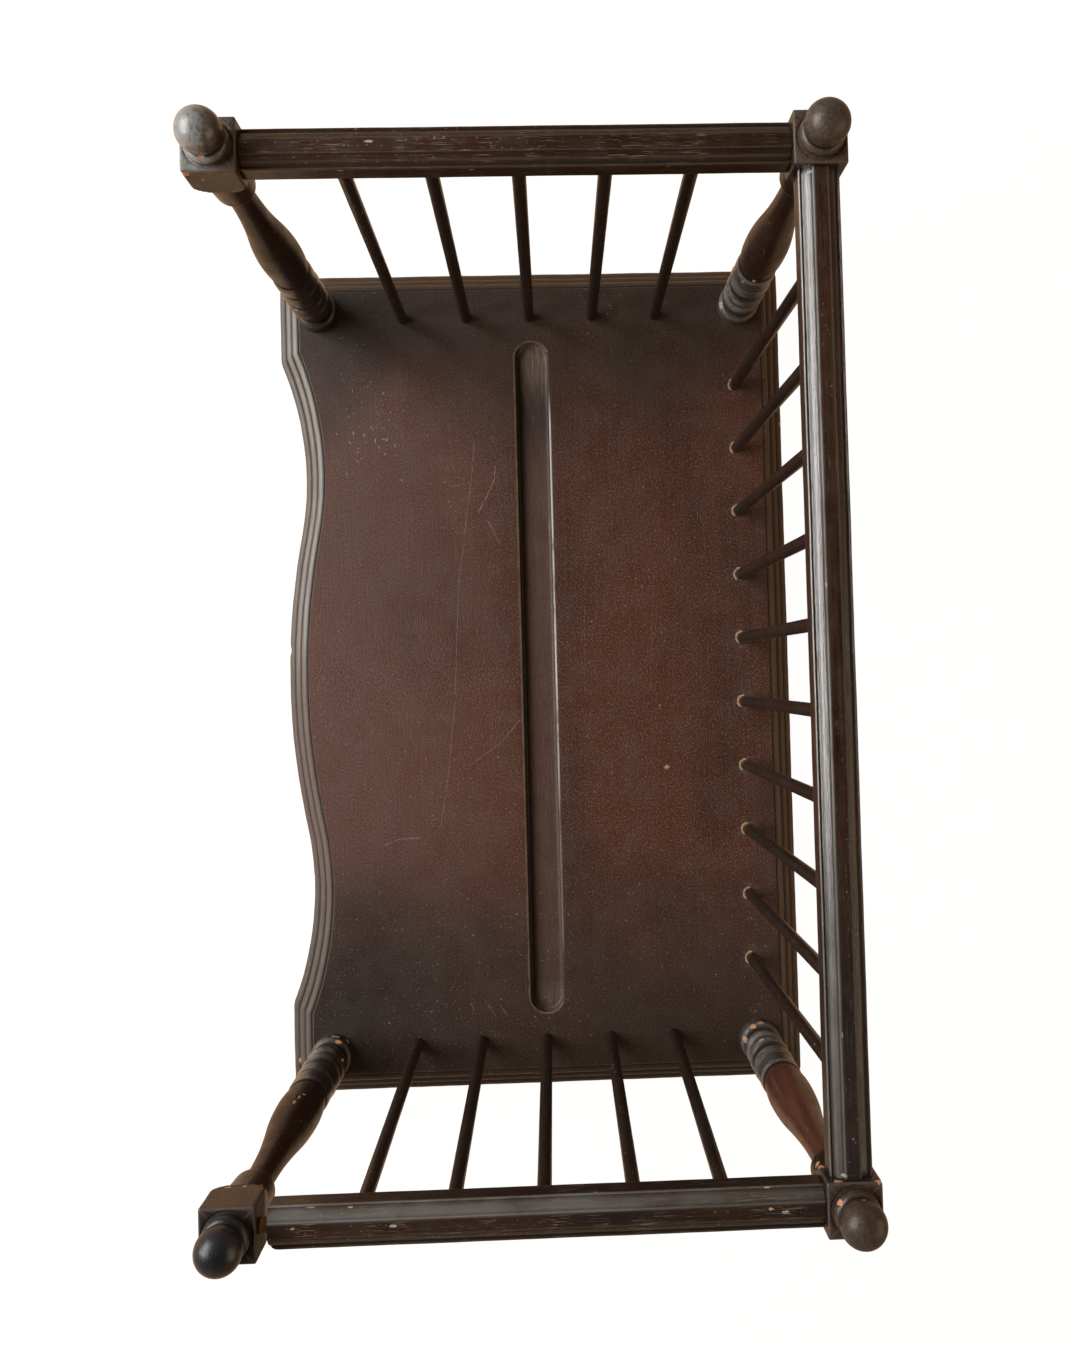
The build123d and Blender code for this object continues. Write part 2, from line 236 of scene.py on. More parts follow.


# stained and varnished wood: streaks along the grain, fine fibres, dust, rubbed edges, painted shade in hollows, bare
# chips
def woodFinish(name, look, marks=None):
    finish = bpy.data.materials.new(name)
    finish.use_nodes = True
    tree = finish.node_tree
    shader = tree.nodes["Principled BSDF"]
    place = addNode(tree, "ShaderNodeTexCoord").outputs["Object"]
    at = addNode(tree, "ShaderNodeVectorMath", {0: place, "Scale": 1 / mm}, operation="SCALE").outputs[0]

    # noise with one size along the grain and one across it
    def grainCloud(sizes, detail, rough=0.5):
        return cloud(tree, at, [sizes[0] if g else sizes[1] for g in look["grain"]], detail, rough)

    # mask of the mesh plus noise about zero, which frays its edge
    def frayed(label, noise, amount):
        return reckon(tree, "MULTIPLY_ADD", reckon(tree, "SUBTRACT", noise, 0.5), amount, tint(tree, label))

    broad = grainCloud(woodSizes["broad"], 2)
    streak = grainCloud(look["streak"], 5, 0.62)
    fibre = grainCloud(woodSizes["fibre"], 2)
    blotch = cloud(tree, at, [woodSizes["blotch"]] * 3, 3)
    vein = grainCloud(woodSizes["vein"], 3, 0.6)
    mottle = grainCloud(woodSizes["mottle"], 3, 0.85)

    pore = rise(tree, fibre, 0.36, 0.46, 1.0, 0.0)
    tone = blendTone(tree, rise(tree, streak, 0.34, 0.68), look["deep"], look["middle"])
    tone = blendTone(tree, rise(tree, vein, 0.38, 0.58, look["vein"], 0.0), tone, look["deep"])
    tone = blendTone(tree, times(tree, rise(tree, broad, 0.38, 0.62), look["warmth"]), tone, look["warm"])
    tone = blendTone(tree, rise(tree, mottle, 0.40, 0.49, look["mottle"], 0.0), tone, look["deep"])
    tone = blendTone(tree, rise(tree, mottle, 0.53, 0.63, 0.0, look["mottle"]), tone, look["fleck"])
    tone = blendTone(tree, times(tree, pore, 0.45), tone, look["deep"])
    tone = blendTone(tree, times(tree, rise(tree, blotch, 0.45, 0.72), look["film"]), tone, look["filmTone"])
    rough = reckon(tree, "ADD", rise(tree, blotch, 0.35, 0.65, *look["rough"]), times(tree, pore, 0.08))
    height = times(tree, streak, look["streakHeight"])
    for noise, share in ((fibre, "fibreHeight"), (blotch, "blotchHeight"), (mottle, "gritHeight")):
        height = reckon(tree, "MULTIPLY_ADD", noise, look[share], height)
    if marks:
        tone, rough, height = marks(tree, at, look, tone, rough, height)

    speck = most(tree, *[speckle(tree, at, *kind) for kind in woodSizes["dust"]])
    speck = times(tree, speck, rise(tree, broad, 0.38, 0.62, 0.2, 1.0), look["dust"])
    tone = blendTone(tree, speck, tone, look["dustTone"])
    patchy = reckon(tree, "ADD", grainCloud(woodSizes["wear"], 3), 0.5)
    worn = rise(tree, times(tree, tint(tree, "rub"), patchy), 0.35, 0.95)
    tone = blendTone(tree, times(tree, worn, look["rubShare"]), tone, look["rubbed"])
    # painted shade: creases and hollows blend towards near-black
    crease = tint(tree, "crease")
    tone = blendTone(tree, times(tree, crease, 0.9), tone, woodTones["creaseShade"])
    rough = reckon(tree, "MULTIPLY_ADD", crease, 0.3, rough)

    bare = rise(tree, frayed("bare", cloud(tree, at, [woodSizes["chipEdge"]] * 3, 3), 0.9), 0.44, 0.56)
    raw = blendTone(tree, rise(tree, fibre, 0.35, 0.65), look["bare"], look["barePale"])
    tone = blendTone(tree, bare, tone, raw)
    filler = frayed("chalk", cloud(tree, at, [woodSizes["fillerEdge"]] * 3, 4, 0.7), 1.3)
    tone = blendTone(tree, rise(tree, filler, 0.45, 0.62, 0.0, 0.8), tone, woodTones["filler"])
    rough = reckon(tree, "MULTIPLY_ADD", bare, 0.25, rough)
    height = reckon(tree, "MULTIPLY_ADD", bare, -0.18, height)

    bump = addNode(tree, "ShaderNodeBump", {"Height": height, "Strength": 1.0, "Distance": mm}).outputs[0]
    feed(tree, shader, {
        "Base Color": tone, "Roughness": rough, "Normal": bump, "Coat Normal": bump,
        "Specular IOR Level": look["gloss"], "Coat Weight": look["coat"], "Coat Roughness": look["coatRough"],
        "Sheen Weight": look["sheen"], "Sheen Roughness": woodTones["rimRough"], "Sheen Tint": woodTones["rim"]})
    if look.get("coatBy"):
        feed(tree, shader, {"Coat Weight": times(tree, tint(tree, look["coatBy"]), look["coat"])})
    return finish


# base board

boardShape = dict(
    reeds=3, reedRun=4.7, reedDrop=5.6, nose=3.62, fieldStep=0.8, arris=0.4, foot=0.8,  # edge moulding
    valleyWide=0.35, valleyDeep=0.25, reedShine=(0.35, 0.8, 1.0),
    shoulder=53.0, hollowDepth=13.8, hollowPlace=0.637, crestSetback=1.6, kinkRound=2.0,  # serpentine front
    grooveWidth=19.4, grooveDepth=5.5, grooveMargin=46.5, lip=0.7, grooveFoot=2.2,  # groove for a book stop
    step=1.7, fieldRows=(0.01, 0.03, 0.08, 0.18, 0.34, 0.52, 0.7, 0.84, 0.93, 0.98),
    cornerWear=0.9, cornerReach=2.6, waver=0.12, waverLength=61.0,
    # chips: place, reach, depth, kind
    chips=[((-18.7, -150.0, 5.0), (2.6, 2.6, 2.6), 0.7, "bare"), ((-24.0, -151.2, 3.0), (1.8, 1.8, 1.8), 0.5, "bare"),
           ((118.0, -138.6, 7.0), (1.2, 1.2, 1.2), 0.3, "bare"), ((244.5, 96.0, 6.0), (1.6, 1.6, 1.6), 0.4, "bare"),
           ((-150.0, 152.0, 7.0), (1.5, 1.5, 1.5), 0.4, "bare"), ((226.0, -149.0, 9.5), (3.2, 1.8, 2.4), 0.5, "bare"),
           ((235.0, -150.5, 5.0), (2.0, 1.6, 1.6), 0.4, "bare")],
)
boardLook = dict(
    grain=(1, 0, 0), streak=(60, 2.0),
    deep=(0.036, 0.0148, 0.0098), middle=(0.071, 0.0266, 0.0150), warm=(0.098, 0.033, 0.0168), warmth=0.65,
    vein=0.12, mottle=0.95, fleck=(0.20, 0.113, 0.085),
    rubbed=(0.17, 0.125, 0.085), rubShare=0.85, bare=(0.46, 0.20, 0.08), barePale=(0.60, 0.34, 0.17),
    film=0.08, filmTone=(0.10, 0.085, 0.08), dust=0.5, dustTone=(0.26, 0.20, 0.17),
    rough=(0.40, 0.54), fibreHeight=0.05, streakHeight=0.02, blotchHeight=0.05, gritHeight=0.10, gloss=0.3,
    coat=0.0, coatRough=0.3, sheen=0.0,
    # frontSheen: painted grey sheen; ends and corner: partly worn stain, partly painted shade
    frontSheen=((0.070, 0.034, 0.028), (0.175, 0.098, 0.084)),  # these three: between and on the grit
    ends=((0.020, 0.0135, 0.0118), (0.049, 0.0345, 0.0295)),
    corner=((0.007, 0.0058, 0.006), (0.019, 0.0162, 0.0162)),
    # reed tones by edge: painted light and shade by which way each edge faces; glint: painted highlight
    frontReeds=(0.10, 0.084, 0.075), backReeds=(0.072, 0.043, 0.026), leftReeds=(0.092, 0.057, 0.034),
    rightReeds=(0.038, 0.026, 0.0185), glint=(0.275, 0.272, 0.266),
    groove=(0.074, 0.038, 0.030), smoke=(0.016, 0.013, 0.0125), scuff=(0.19, 0.155, 0.125),
    # shade: painted shadow in the groove; lip: painted highlight on the groove's back lip
    shade=(0.009, 0.0045, 0.003), lip=(0.50, 0.52, 0.53), scratch=(0.30, 0.20, 0.15), dent=(0.42, 0.29, 0.19),
    drop=(0.33, 0.30, 0.28), halo=(0.13, 0.125, 0.12), socket=(0.52, 0.33, 0.19),
)
# marks on the field in board mm: scratches as runs of points with width and strength, dents as spots
boardMarks = dict(
    scratches=[
        ([(-140, -35.5), (-123, -37), (-52, -47), (14, -50.3), (62, -56), (90, -61)], 0.42, 0.42),
        ([(-125.3, -23.2), (-116.9, -24), (-105, -29.7), (-98, -34)], 0.5, 0.75),
        ([(-92, -28), (-84, -24), (-79, -22)], 0.7, 0.4),
        ([(26.6, -12.1), (41.1, -25.5), (52.4, -42.4)], 0.4, 0.55),
        ([(98.1, -93.6), (94.9, -84.7), (94.6, -72.9)], 0.55, 0.7),
        ([(-113.3, -50.3), (-115.5, -39.6)], 0.35, 0.4),
        ([(-66.8, 70.4), (10.9, 65.8)], 0.3, 0.28),
        ([(190.9, -36.9), (199.8, -31.1)], 0.6, 0.5),
        ([(194.2, -28.1), (200.5, -24.0)], 0.5, 0.45),
        ([(193.0, -45.0), (199.0, -42.0)], 0.6, 0.4),
        ([(-40, 28), (12, 27)], 0.3, 0.25),
    ],
    dents=[((57.0, 74.6), 2.4, 1.0), ((20.0, 71.5), 1.0, 0.8), ((-118, -79), 0.9, 0.6), ((-66, -92), 0.9, 0.5),
           ((-31, 32), 0.8, 0.6), ((131, 52), 0.9, 0.5)],
    speckles=((-150, -100), (42, 27)),  # middle and reach of a patch of pale drops
    socketReach=3.3,
)
galleryRows = dict(backCount=10, endCount=5, backGap=47.75, endGap=50.0, backInset=2.9, endInset=4.4)


# outline at the board's foot, counterclockwise from above: front of two hollows and a crest as circle arcs that meet
# in a tangent, a rounded kink, straight shoulder, end and back; with it the direction that each point moves to go in
def boardOutline(shape):
    half, deep = boardHigh[0], boardHigh[1]
    spine = half - shape["grooveMargin"] - shape["grooveWidth"] / 2
    kinkX = half - shape["shoulder"]
    hollowX = shape["hollowPlace"] * kinkX
    depth = shape["hollowDepth"]
    hollowR = ((kinkX - hollowX) ** 2 + depth**2) / (2 * depth)
    hollowY = depth - deep - hollowR
    lift = shape["crestSetback"] - depth + hollowR
    crestR = (hollowX**2 + lift**2 - hollowR**2) / (2 * (depth - shape["crestSetback"]))
    crestY = shape["crestSetback"] - deep + crestR
    turnX = hollowX - hollowR * hollowX / hypot(hollowX, crestY - hollowY)
    roundR = shape["kinkRound"] + shape["reeds"] * shape["reedRun"]
    kink = np.array([hollowX + sqrt((hollowR + roundR) ** 2 - (roundR - deep - hollowY) ** 2), roundR - deep])

    count = int(2 * spine / shape["step"])
    x = np.linspace(-spine, spine, count)
    side = np.abs(x) - hollowX
    inCrest = np.abs(x) < turnX
    crestLine = crestY - np.sqrt(np.maximum(crestR**2 - x**2, 0))
    hollowLine = hollowY + np.sqrt(np.maximum(hollowR**2 - side**2, 0))
    y = np.where(inCrest, crestLine, hollowLine)
    front = np.stack([x, y], -1)
    frontIn = np.where(inCrest[:, None], np.stack([-x, crestY - y], -1) / crestR,
                       np.stack([side * np.sign(x), y - hollowY], -1) / hollowR)
    back = np.stack([x[::-1], np.full(count, deep)], -1)
    backIn = np.tile([0.0, -1.0], (count, 1))

    towards = degrees(atan2(hollowY - kink[1], hollowX - kink[0]))
    bend = arc(kink, roundR, towards, -90, 10)
    bendIn = (kink - bend) / roundR
    shoulderX = np.linspace(kink[0], half, int((half - kink[0]) / shape["step"]))[1:]
    endY = np.linspace(-deep, deep, int(2 * deep / shape["step"]))[1:]
    returnX = np.linspace(half, spine, int((half - spine) / shape["step"]))[1:-1]
    end = np.concatenate([bend, np.stack([shoulderX, np.full(len(shoulderX), -deep)], -1),
                          np.stack([np.full(len(endY), half), endY], -1),
                          np.stack([returnX, np.full(len(returnX), deep)], -1)])
    # straight runs shorten evenly towards their mitred corners
    shoulderShare = (shoulderX - kink[0]) / (half - kink[0])
    returnShare = (returnX - spine) / (half - spine)
    endIn = np.concatenate([bendIn, np.stack([-shoulderShare, np.ones(len(shoulderX))], -1),
                            np.stack([-np.ones(len(endY)), -endY / deep], -1),
                            np.stack([-returnShare, -np.ones(len(returnX))], -1)])
    mirror = np.array([-1.0, 1.0])
    outline = np.concatenate([front, end, back, (end * mirror)[::-1]])
    inward = np.concatenate([frontIn, endIn, backIn, (endIn * mirror)[::-1]])
    return outline, inward, spine


# edge moulding as inset and height: an upright side and a quarter-round nose for each reed, then the step to the field;
# with it bell curves about the valleys for painted shade, the crests for wear and the noses for painted shine
def reedProfile(shape):
    foot, nose, arris = shape["foot"], shape["nose"], shape["arris"]
    reed = np.arange(shape["reeds"])
    inset = reed * shape["reedRun"]
    top = boardTop - shape["fieldStep"] - (shape["reeds"] - 1 - reed) * shape["reedDrop"]
    valley = inset + shape["reedRun"]
    parts = [arc((foot, foot), foot, 270, 180, 4)]
    for outer, inner, level in zip(inset, valley, top):
        parts += [arc((outer + nose, level - nose), nose, 180, 90, 8),
                  [(inner - shape["valleyWide"], level), (inner, level - shape["valleyDeep"])]]
    parts.append(arc((valley[-1] + arris, boardTop - arris), arris, 180, 90, 4))
    profile = np.concatenate([np.asarray(p, float) for p in parts])
    crease = bell(gapsTo(profile, np.stack([valley, top], -1)).min(1), 1.0)
    crest = bell(gapsTo(profile, np.stack([inset + 0.3 * nose, top - 0.3 * nose], -1)).min(1), 1.3)
    rub = np.maximum(0.62 * crest, bell(gapsTo(profile, profile[-2:-1])[:, 0], 0.5))
    shine = bell(gapsTo(profile, np.stack([inset + 0.55 * nose, top - 0.1 * nose], -1)), 1.75, 4)
    return profile, crease, rub, (shine * shape["reedShine"]).max(1)


# board skin: rows from a line under its middle, out to the foot, up the moulding, in over the field, down the groove's
# wall and along its floor to a line again; each field point runs straight from the moulding to the groove's lip
def boardGrid(shape):
    outline, inward, spine = boardOutline(shape)
    profile, profileCrease, profileRub, profileShine = reedProfile(shape)
    count = len(outline)
    run = np.concatenate([[0], np.cumsum(np.hypot(*np.diff(outline, axis=0).T))])
    corners = np.array([(sx * boardHigh[0], sy * boardHigh[1]) for sx in (-1, 1) for sy in (-1, 1)])
    corner = bell(gapsTo(outline, corners).min(1), shape["cornerReach"])
    pull = shape["cornerWear"] * corner / np.linalg.norm(inward, axis=1)
    waver = shape["waver"] * (1 + ripple(run, shape["waverLength"], 0.4))
    middle = np.stack([np.clip(outline[:, 0], -spine, spine), np.zeros(count)], -1)
    out = outline - middle
    out /= np.linalg.norm(out, axis=1, keepdims=True)

    half, lip, foot = shape["grooveWidth"] / 2, shape["lip"], shape["grooveFoot"]
    floor = boardTop - shape["grooveDepth"]
    lipRows, footRows = 5, 7
    wall = np.concatenate([arc((half + lip, boardTop - lip), lip, 90, 180, lipRows),
                           arc((half - foot, floor + foot), foot, 0, -90, footRows),
                           [(half * 0.5, floor - 0.1), (0.0, floor - 0.1)]])
    shares = np.array(shape["fieldRows"])
    under = np.stack([middle, outline * 0.5 + middle * 0.5])
    edge = outline + inward * (profile[:, :1] + pull + waver)[..., None]
    field = edge[-1] + (middle + out * (half + lip) - edge[-1]) * shares[:, None, None]
    groove = middle + out * wall[:, :1, None]
    heights = np.concatenate([[0, 0], profile[:, 1], np.full(len(shares), boardTop), wall[:, 1]])
    rows = np.concatenate([under, edge, field, groove])
    grid = np.concatenate([rows, np.broadcast_to(heights[:, None, None], (len(rows), count, 1))], -1)

    dull = outline[:, 1] > boardHigh[1] - 0.01  # the back edge is dull: its lines hardly show
    front = np.clip(inward[:, 1] * 1.4 - 0.4, 0, 1) * (outline[:, 1] < 0)
    front = front * (np.abs(outline[:, 0]) < boardHigh[0] - 0.01)
    onEdge = slice(len(under), len(under) + len(profile))
    lipAt = onEdge.stop + len(shares)
    crease, rub, shine = np.zeros((3, len(rows), count))
    # crease: painted shade in the moulding's valleys and the groove's foot, weak on the dull back edge
    crease[onEdge] = profileCrease[:, None] * (1 - 0.92 * dull)
    footAt = lipAt + lipRows
    crease[footAt + 2:footAt + footRows] = 0.25 * (1 - 0.92 * dull)
    rub[onEdge] = profileRub[:, None] * (1 - 0.9 * dull)
    rub[lipAt:footAt - 1] = 0.75 * (1 - 0.9 * dull)
    shine[onEdge] = profileShine[:, None] * front
    return grid, dict(crease=crease, rub=rub, shine=shine)


# field: a painted grey sheen that grows towards the front, and darker ends and back rim and a black corner, partly worn
# stain and partly painted shade; all with uneven edges
def shadeField(tree, at, look, x, y, shift, tone):
    grit = rise(tree, cloud(tree, at, (1.1, 0.8, 0.8), 3, 0.85), 0.42, 0.6)
    back = reckon(tree, "ADD", y, shift)
    # painted sheen, stronger towards the front
    frontSheen = rise(tree, reckon(tree, "SUBTRACT", shift, y), -25, 115)
    # darker ends, back rim and corner: partly worn stain, partly painted shade
    ends = most(tree, rise(tree, reckon(tree, "SUBTRACT", shift, x), 128, 208),
                rise(tree, reckon(tree, "ADD", x, shift), 88, 190))
    dark = most(tree, ends, rise(tree, back, 120, 180))
    corner = times(tree, ends, rise(tree, back, -110, -20, 0.55, 0.0))
    for share, name in ((times(tree, frontSheen, 0.54), "frontSheen"), (times(tree, dark, 0.82), "ends"), (corner, "corner")):
        tone = blendTone(tree, share, tone, blendTone(tree, grit, *look[name]))
    return tone


# reeds: each edge of the board in its own tone, painted lighter or darker by which way it faces the light, the front's
# greyer with painted sheen; and a painted broken grey glint along the front's noses
def shadeReeds(tree, at, look, x, y, z, shift, tone):
    onReeds = rise(tree, z, boardTop - 1.0, boardTop - 0.6, 1.0, 0.0)
    for edge, share, name in ((rise(tree, y, -126, -122, 1.0, 0.0), 0.6, "frontReeds"),
                              (rise(tree, y, 131, 135), 0.9, "backReeds"),
                              (rise(tree, x, -230, -226, 1.0, 0.0), 0.6, "leftReeds"),
                              (rise(tree, x, 226, 230), 0.6, "rightReeds")):
        tone = blendTone(tree, times(tree, onReeds, edge, share), tone, look[name])
    left = rise(tree, reckon(tree, "ADD", x, shift), -45, 45, 1.0, 0.16)
    broken = rise(tree, cloud(tree, at, (40, 2, 2), 3), 0.3, 0.55, 0.6, 1.0)
    return blendTone(tree, times(tree, tint(tree, "shine"), left, broken, 0.9), tone, look["glint"])


# groove: brown floor, a smoky patch, scuffed ends, a painted shadow along its front wall, and a broken pale line of
# painted highlight on its back lip
def shadeGroove(tree, at, look, x, y, z, tone):
    across, along = reckon(tree, "ABSOLUTE", y), reckon(tree, "ABSOLUTE", x)
    inside = times(tree, rise(tree, z, boardTop - 1.2, boardTop - 0.4, 1.0, 0.0),
                   rise(tree, across, 9.6, 10.4, 1.0, 0.0), rise(tree, along, 199, 201, 1.0, 0.0))
    smoke = times(tree, rise(tree, x, -186, -168), rise(tree, x, -156, -118, 0.75, 0.0))
    scuffs = times(tree, most(tree, rise(tree, x, -192, -160, 1.0, 0.16), rise(tree, x, 170, 194, 0.0, 0.4)),
                   rise(tree, cloud(tree, at, (16, 1.1, 1.1), 4, 0.65), 0.36, 0.68, 0.3, 1.0))
    # painted shadow along the front wall
    shade = rise(tree, y, -7.6, -6.2, 0.93, 0.0)
    for share, name in ((0.5, "groove"), (smoke, "smoke"), (scuffs, "scuff"), (shade, "shade")):
        tone = blendTone(tree, times(tree, inside, share), tone, look[name])
    # painted highlight along the back lip
    lipGap = reckon(tree, "ABSOLUTE", reckon(tree, "SUBTRACT", y, 9.95))
    lip = times(tree, rise(tree, lipGap, 0.5, 1.0, 1.0, 0.0), rise(tree, along, 150, 172, 1.0, 0.0),
                rise(tree, cloud(tree, at, (22, 3, 3), 4, 0.7), 0.36, 0.52, 0.3, 1.0),
                rise(tree, x, 0, 115, 1.0, 0.2), rise(tree, z, boardTop - 1.3, boardTop - 0.6), 0.85)
    return blendTone(tree, lip, tone, look["lip"])


# scratches: a smooth step on the distance to the nearest point of each straight run, broken up by noise
def scratchLines(tree, at, flat):
    lines = []
    for points, width, strength in boardMarks["scratches"]:
        for first, last in zip(points, points[1:]):
            run = np.subtract(last, first)
            fromFirst = reckonVector(tree, "SUBTRACT", flat, (*first, 0.0))
            share = reckon(tree, "MULTIPLY", reckonVector(tree, "DOT_PRODUCT", fromFirst, (*run, 0.0)),
                           1.0 / float(run @ run), clamp=True)
            foot = addNode(tree, "ShaderNodeVectorMath", {0: (*run, 0.0), "Scale": share}, operation="SCALE").outputs[0]
            gap = reckonVector(tree, "DISTANCE", fromFirst, foot)
            lines.append(rise(tree, gap, width * 0.25, width, strength, 0.0))
    broken = rise(tree, cloud(tree, at, (5, 5, 5), 3, 0.7), 0.36, 0.58, 0.15, 1.0)
    return times(tree, most(tree, *lines), broken)


# dents: a smooth step on the distance to each spot, with noise added so that it isn't round
def dentSpots(tree, flat, uneven):
    spots = []
    for place, reach, strength in boardMarks["dents"]:
        gap = reckonVector(tree, "DISTANCE", flat, (*place, 0.0))
        ragged = reckon(tree, "MULTIPLY_ADD", uneven, reach * 1.4, gap)
        spots.append(rise(tree, ragged, reach * 0.9, reach * 1.4, strength, 0.0))
    return most(tree, *spots)


# pale drops: the peaks of a noise, inside an oval patch that fades out
def paleDrops(tree, at, flat):
    middle, reach = boardMarks["speckles"]
    patch = reckonVector(tree, "DIVIDE", reckonVector(tree, "SUBTRACT", flat, (*middle, 0.0)), (*reach, 1.0))
    inPatch = rise(tree, reckonVector(tree, "LENGTH", patch), 0.3, 1.0, 1.0, 0.0)
    return times(tree, rise(tree, cloud(tree, at, (4.0, 2.2, 2.0), 2), 0.662, 0.70), inPatch)


# back row's sockets: distance to the nearest spindle's foot, as a ragged half ring in front and a wide grey halo
def socketRings(tree, x, y, uneven):
    rows = galleryRows
    first = rows["backGap"] - endX
    pitch = (2 * endX - 2 * rows["backGap"]) / (rows["backCount"] - 1)
    number = reckon(tree, "ROUND", reckon(tree, "DIVIDE", reckon(tree, "SUBTRACT", x, first), pitch))
    number = reckon(tree, "MINIMUM", most(tree, number, 0.0), rows["backCount"] - 1.0)
    sideways = reckon(tree, "SUBTRACT", x, reckon(tree, "MULTIPLY_ADD", number, pitch, first))
    inwards = reckon(tree, "SUBTRACT", backY - rows["backInset"], y)
    gap = reckon(tree, "SQRT", reckon(tree, "ADD", times(tree, sideways, sideways), times(tree, inwards, inwards)))
    reach = boardMarks["socketReach"]
    ragged = reckon(tree, "MULTIPLY_ADD", uneven, 1.8, reckon(tree, "SUBTRACT", gap, 0.9))
    turned = reckon(tree, "ADD", inwards, times(tree, sideways, -0.35))
    ring = times(tree, rise(tree, ragged, reach + 0.5, reach + 0.9, 1.0, 0.0), rise(tree, turned, 0.3, 1.8))
    halo = times(tree, rise(tree, gap, 3.5, 9.0, 1.0, 0.0), rise(tree, uneven, 0.45, 0.62))
    return ring, halo


# board extras, one over the other: field, reeds, groove, then scratches, dents, drops and socket rings on its top
def markBoard(tree, at, look, tone, rough, height):
    x, y, z = addNode(tree, "ShaderNodeSeparateXYZ", {0: at}).outputs
    flat = addNode(tree, "ShaderNodeCombineXYZ", {0: x, 1: y}).outputs[0]
    shift = times(tree, reckon(tree, "SUBTRACT", cloud(tree, at, (60, 45, 45), 3), 0.5), 90.0)
    uneven = cloud(tree, at, (1.2, 1.2, 1.2), 2)
    onTop = rise(tree, z, boardTop - 0.3, boardTop - 0.1)
    tone = shadeField(tree, at, look, x, y, shift, tone)
    tone = shadeReeds(tree, at, look, x, y, z, shift, tone)
    tone = shadeGroove(tree, at, look, x, y, z, tone)
    scratch = times(tree, scratchLines(tree, at, flat), onTop)
    height = reckon(tree, "MULTIPLY_ADD", scratch, -0.1, height)
    ring, halo = socketRings(tree, x, y, uneven)
    for share, name in ((times(tree, scratch, 0.75), "scratch"),
                        (times(tree, dentSpots(tree, flat, uneven), onTop), "dent"),
                        (times(tree, paleDrops(tree, at, flat), 0.85), "drop"),
                        (times(tree, halo, onTop, 0.35), "halo"), (times(tree, ring, onTop), "socket")):
        tone = blendTone(tree, share, tone, look[name])
    return tone, rough, height


boardFinish = woodFinish("boardFinish", boardLook, markBoard)
grid, tints = boardGrid(boardShape)
tints.update(chipAway(grid, boardShape["chips"],
                      lambda g: np.stack([g[..., 0], g[..., 1] * 0.6, np.full(g.shape[:2], 4.0)], -1)))
makePiece("base_board", grid, tints, boardFinish, 30.0)
print("board skinned,", grid.shape[0] * grid.shape[1], "points")


# corner posts

postShape = dict(
    tenon=6.35, tenonDeep=13.0,
    foot=11.8, footHigh=9.0, footNose=2.5, cove=9.9, coveTop=13.0,
    bead=11.4, beadTop=26.5, band=10.7, bandTop=37.0, secondTop=54.0, quirk=2.3, quirkHalf=1.4, bow=0.8,
    cup=11.0, cupTop=68.0, cupNose=4.0,
    vaseFoot=9.9, belly=11.35, bellyAt=87.0, neck=6.2, neckAt=158.0, turnShare=0.39,
    bellNeck=6.9, bellAt=167.0, bell=9.4, bellNose=1.6, bellTop=10.7,
    blockAt=186.8, blockTop=206.4, blockHalf=11.3, blockFoot=12.8, turnedHigh=6.0, arris=0.8, dish=10.3, dishDeep=0.35,
    ring=9.6, ringTop=211.6, collar=7.8, collarTop=212.6, ball=9.4, ballHalf=8.6, ballSide=0.91,
    ringLines=((11.2, 2.7), (26.5, 1.8), (37.0, 1.5), (54.0, 1.6), (68.0, 1.2)),  # height, half width of lines of painted shade
    vaseZone=(66, 172), ringsBelow=70, ballAbove=205, gapDeep=9.5,  # where wear, painted shade and sheen below go
    columns=112, step=0.5, soft=0.24, cornerDense=0.72, uneven=0.004, unevenLength=47.0,
)
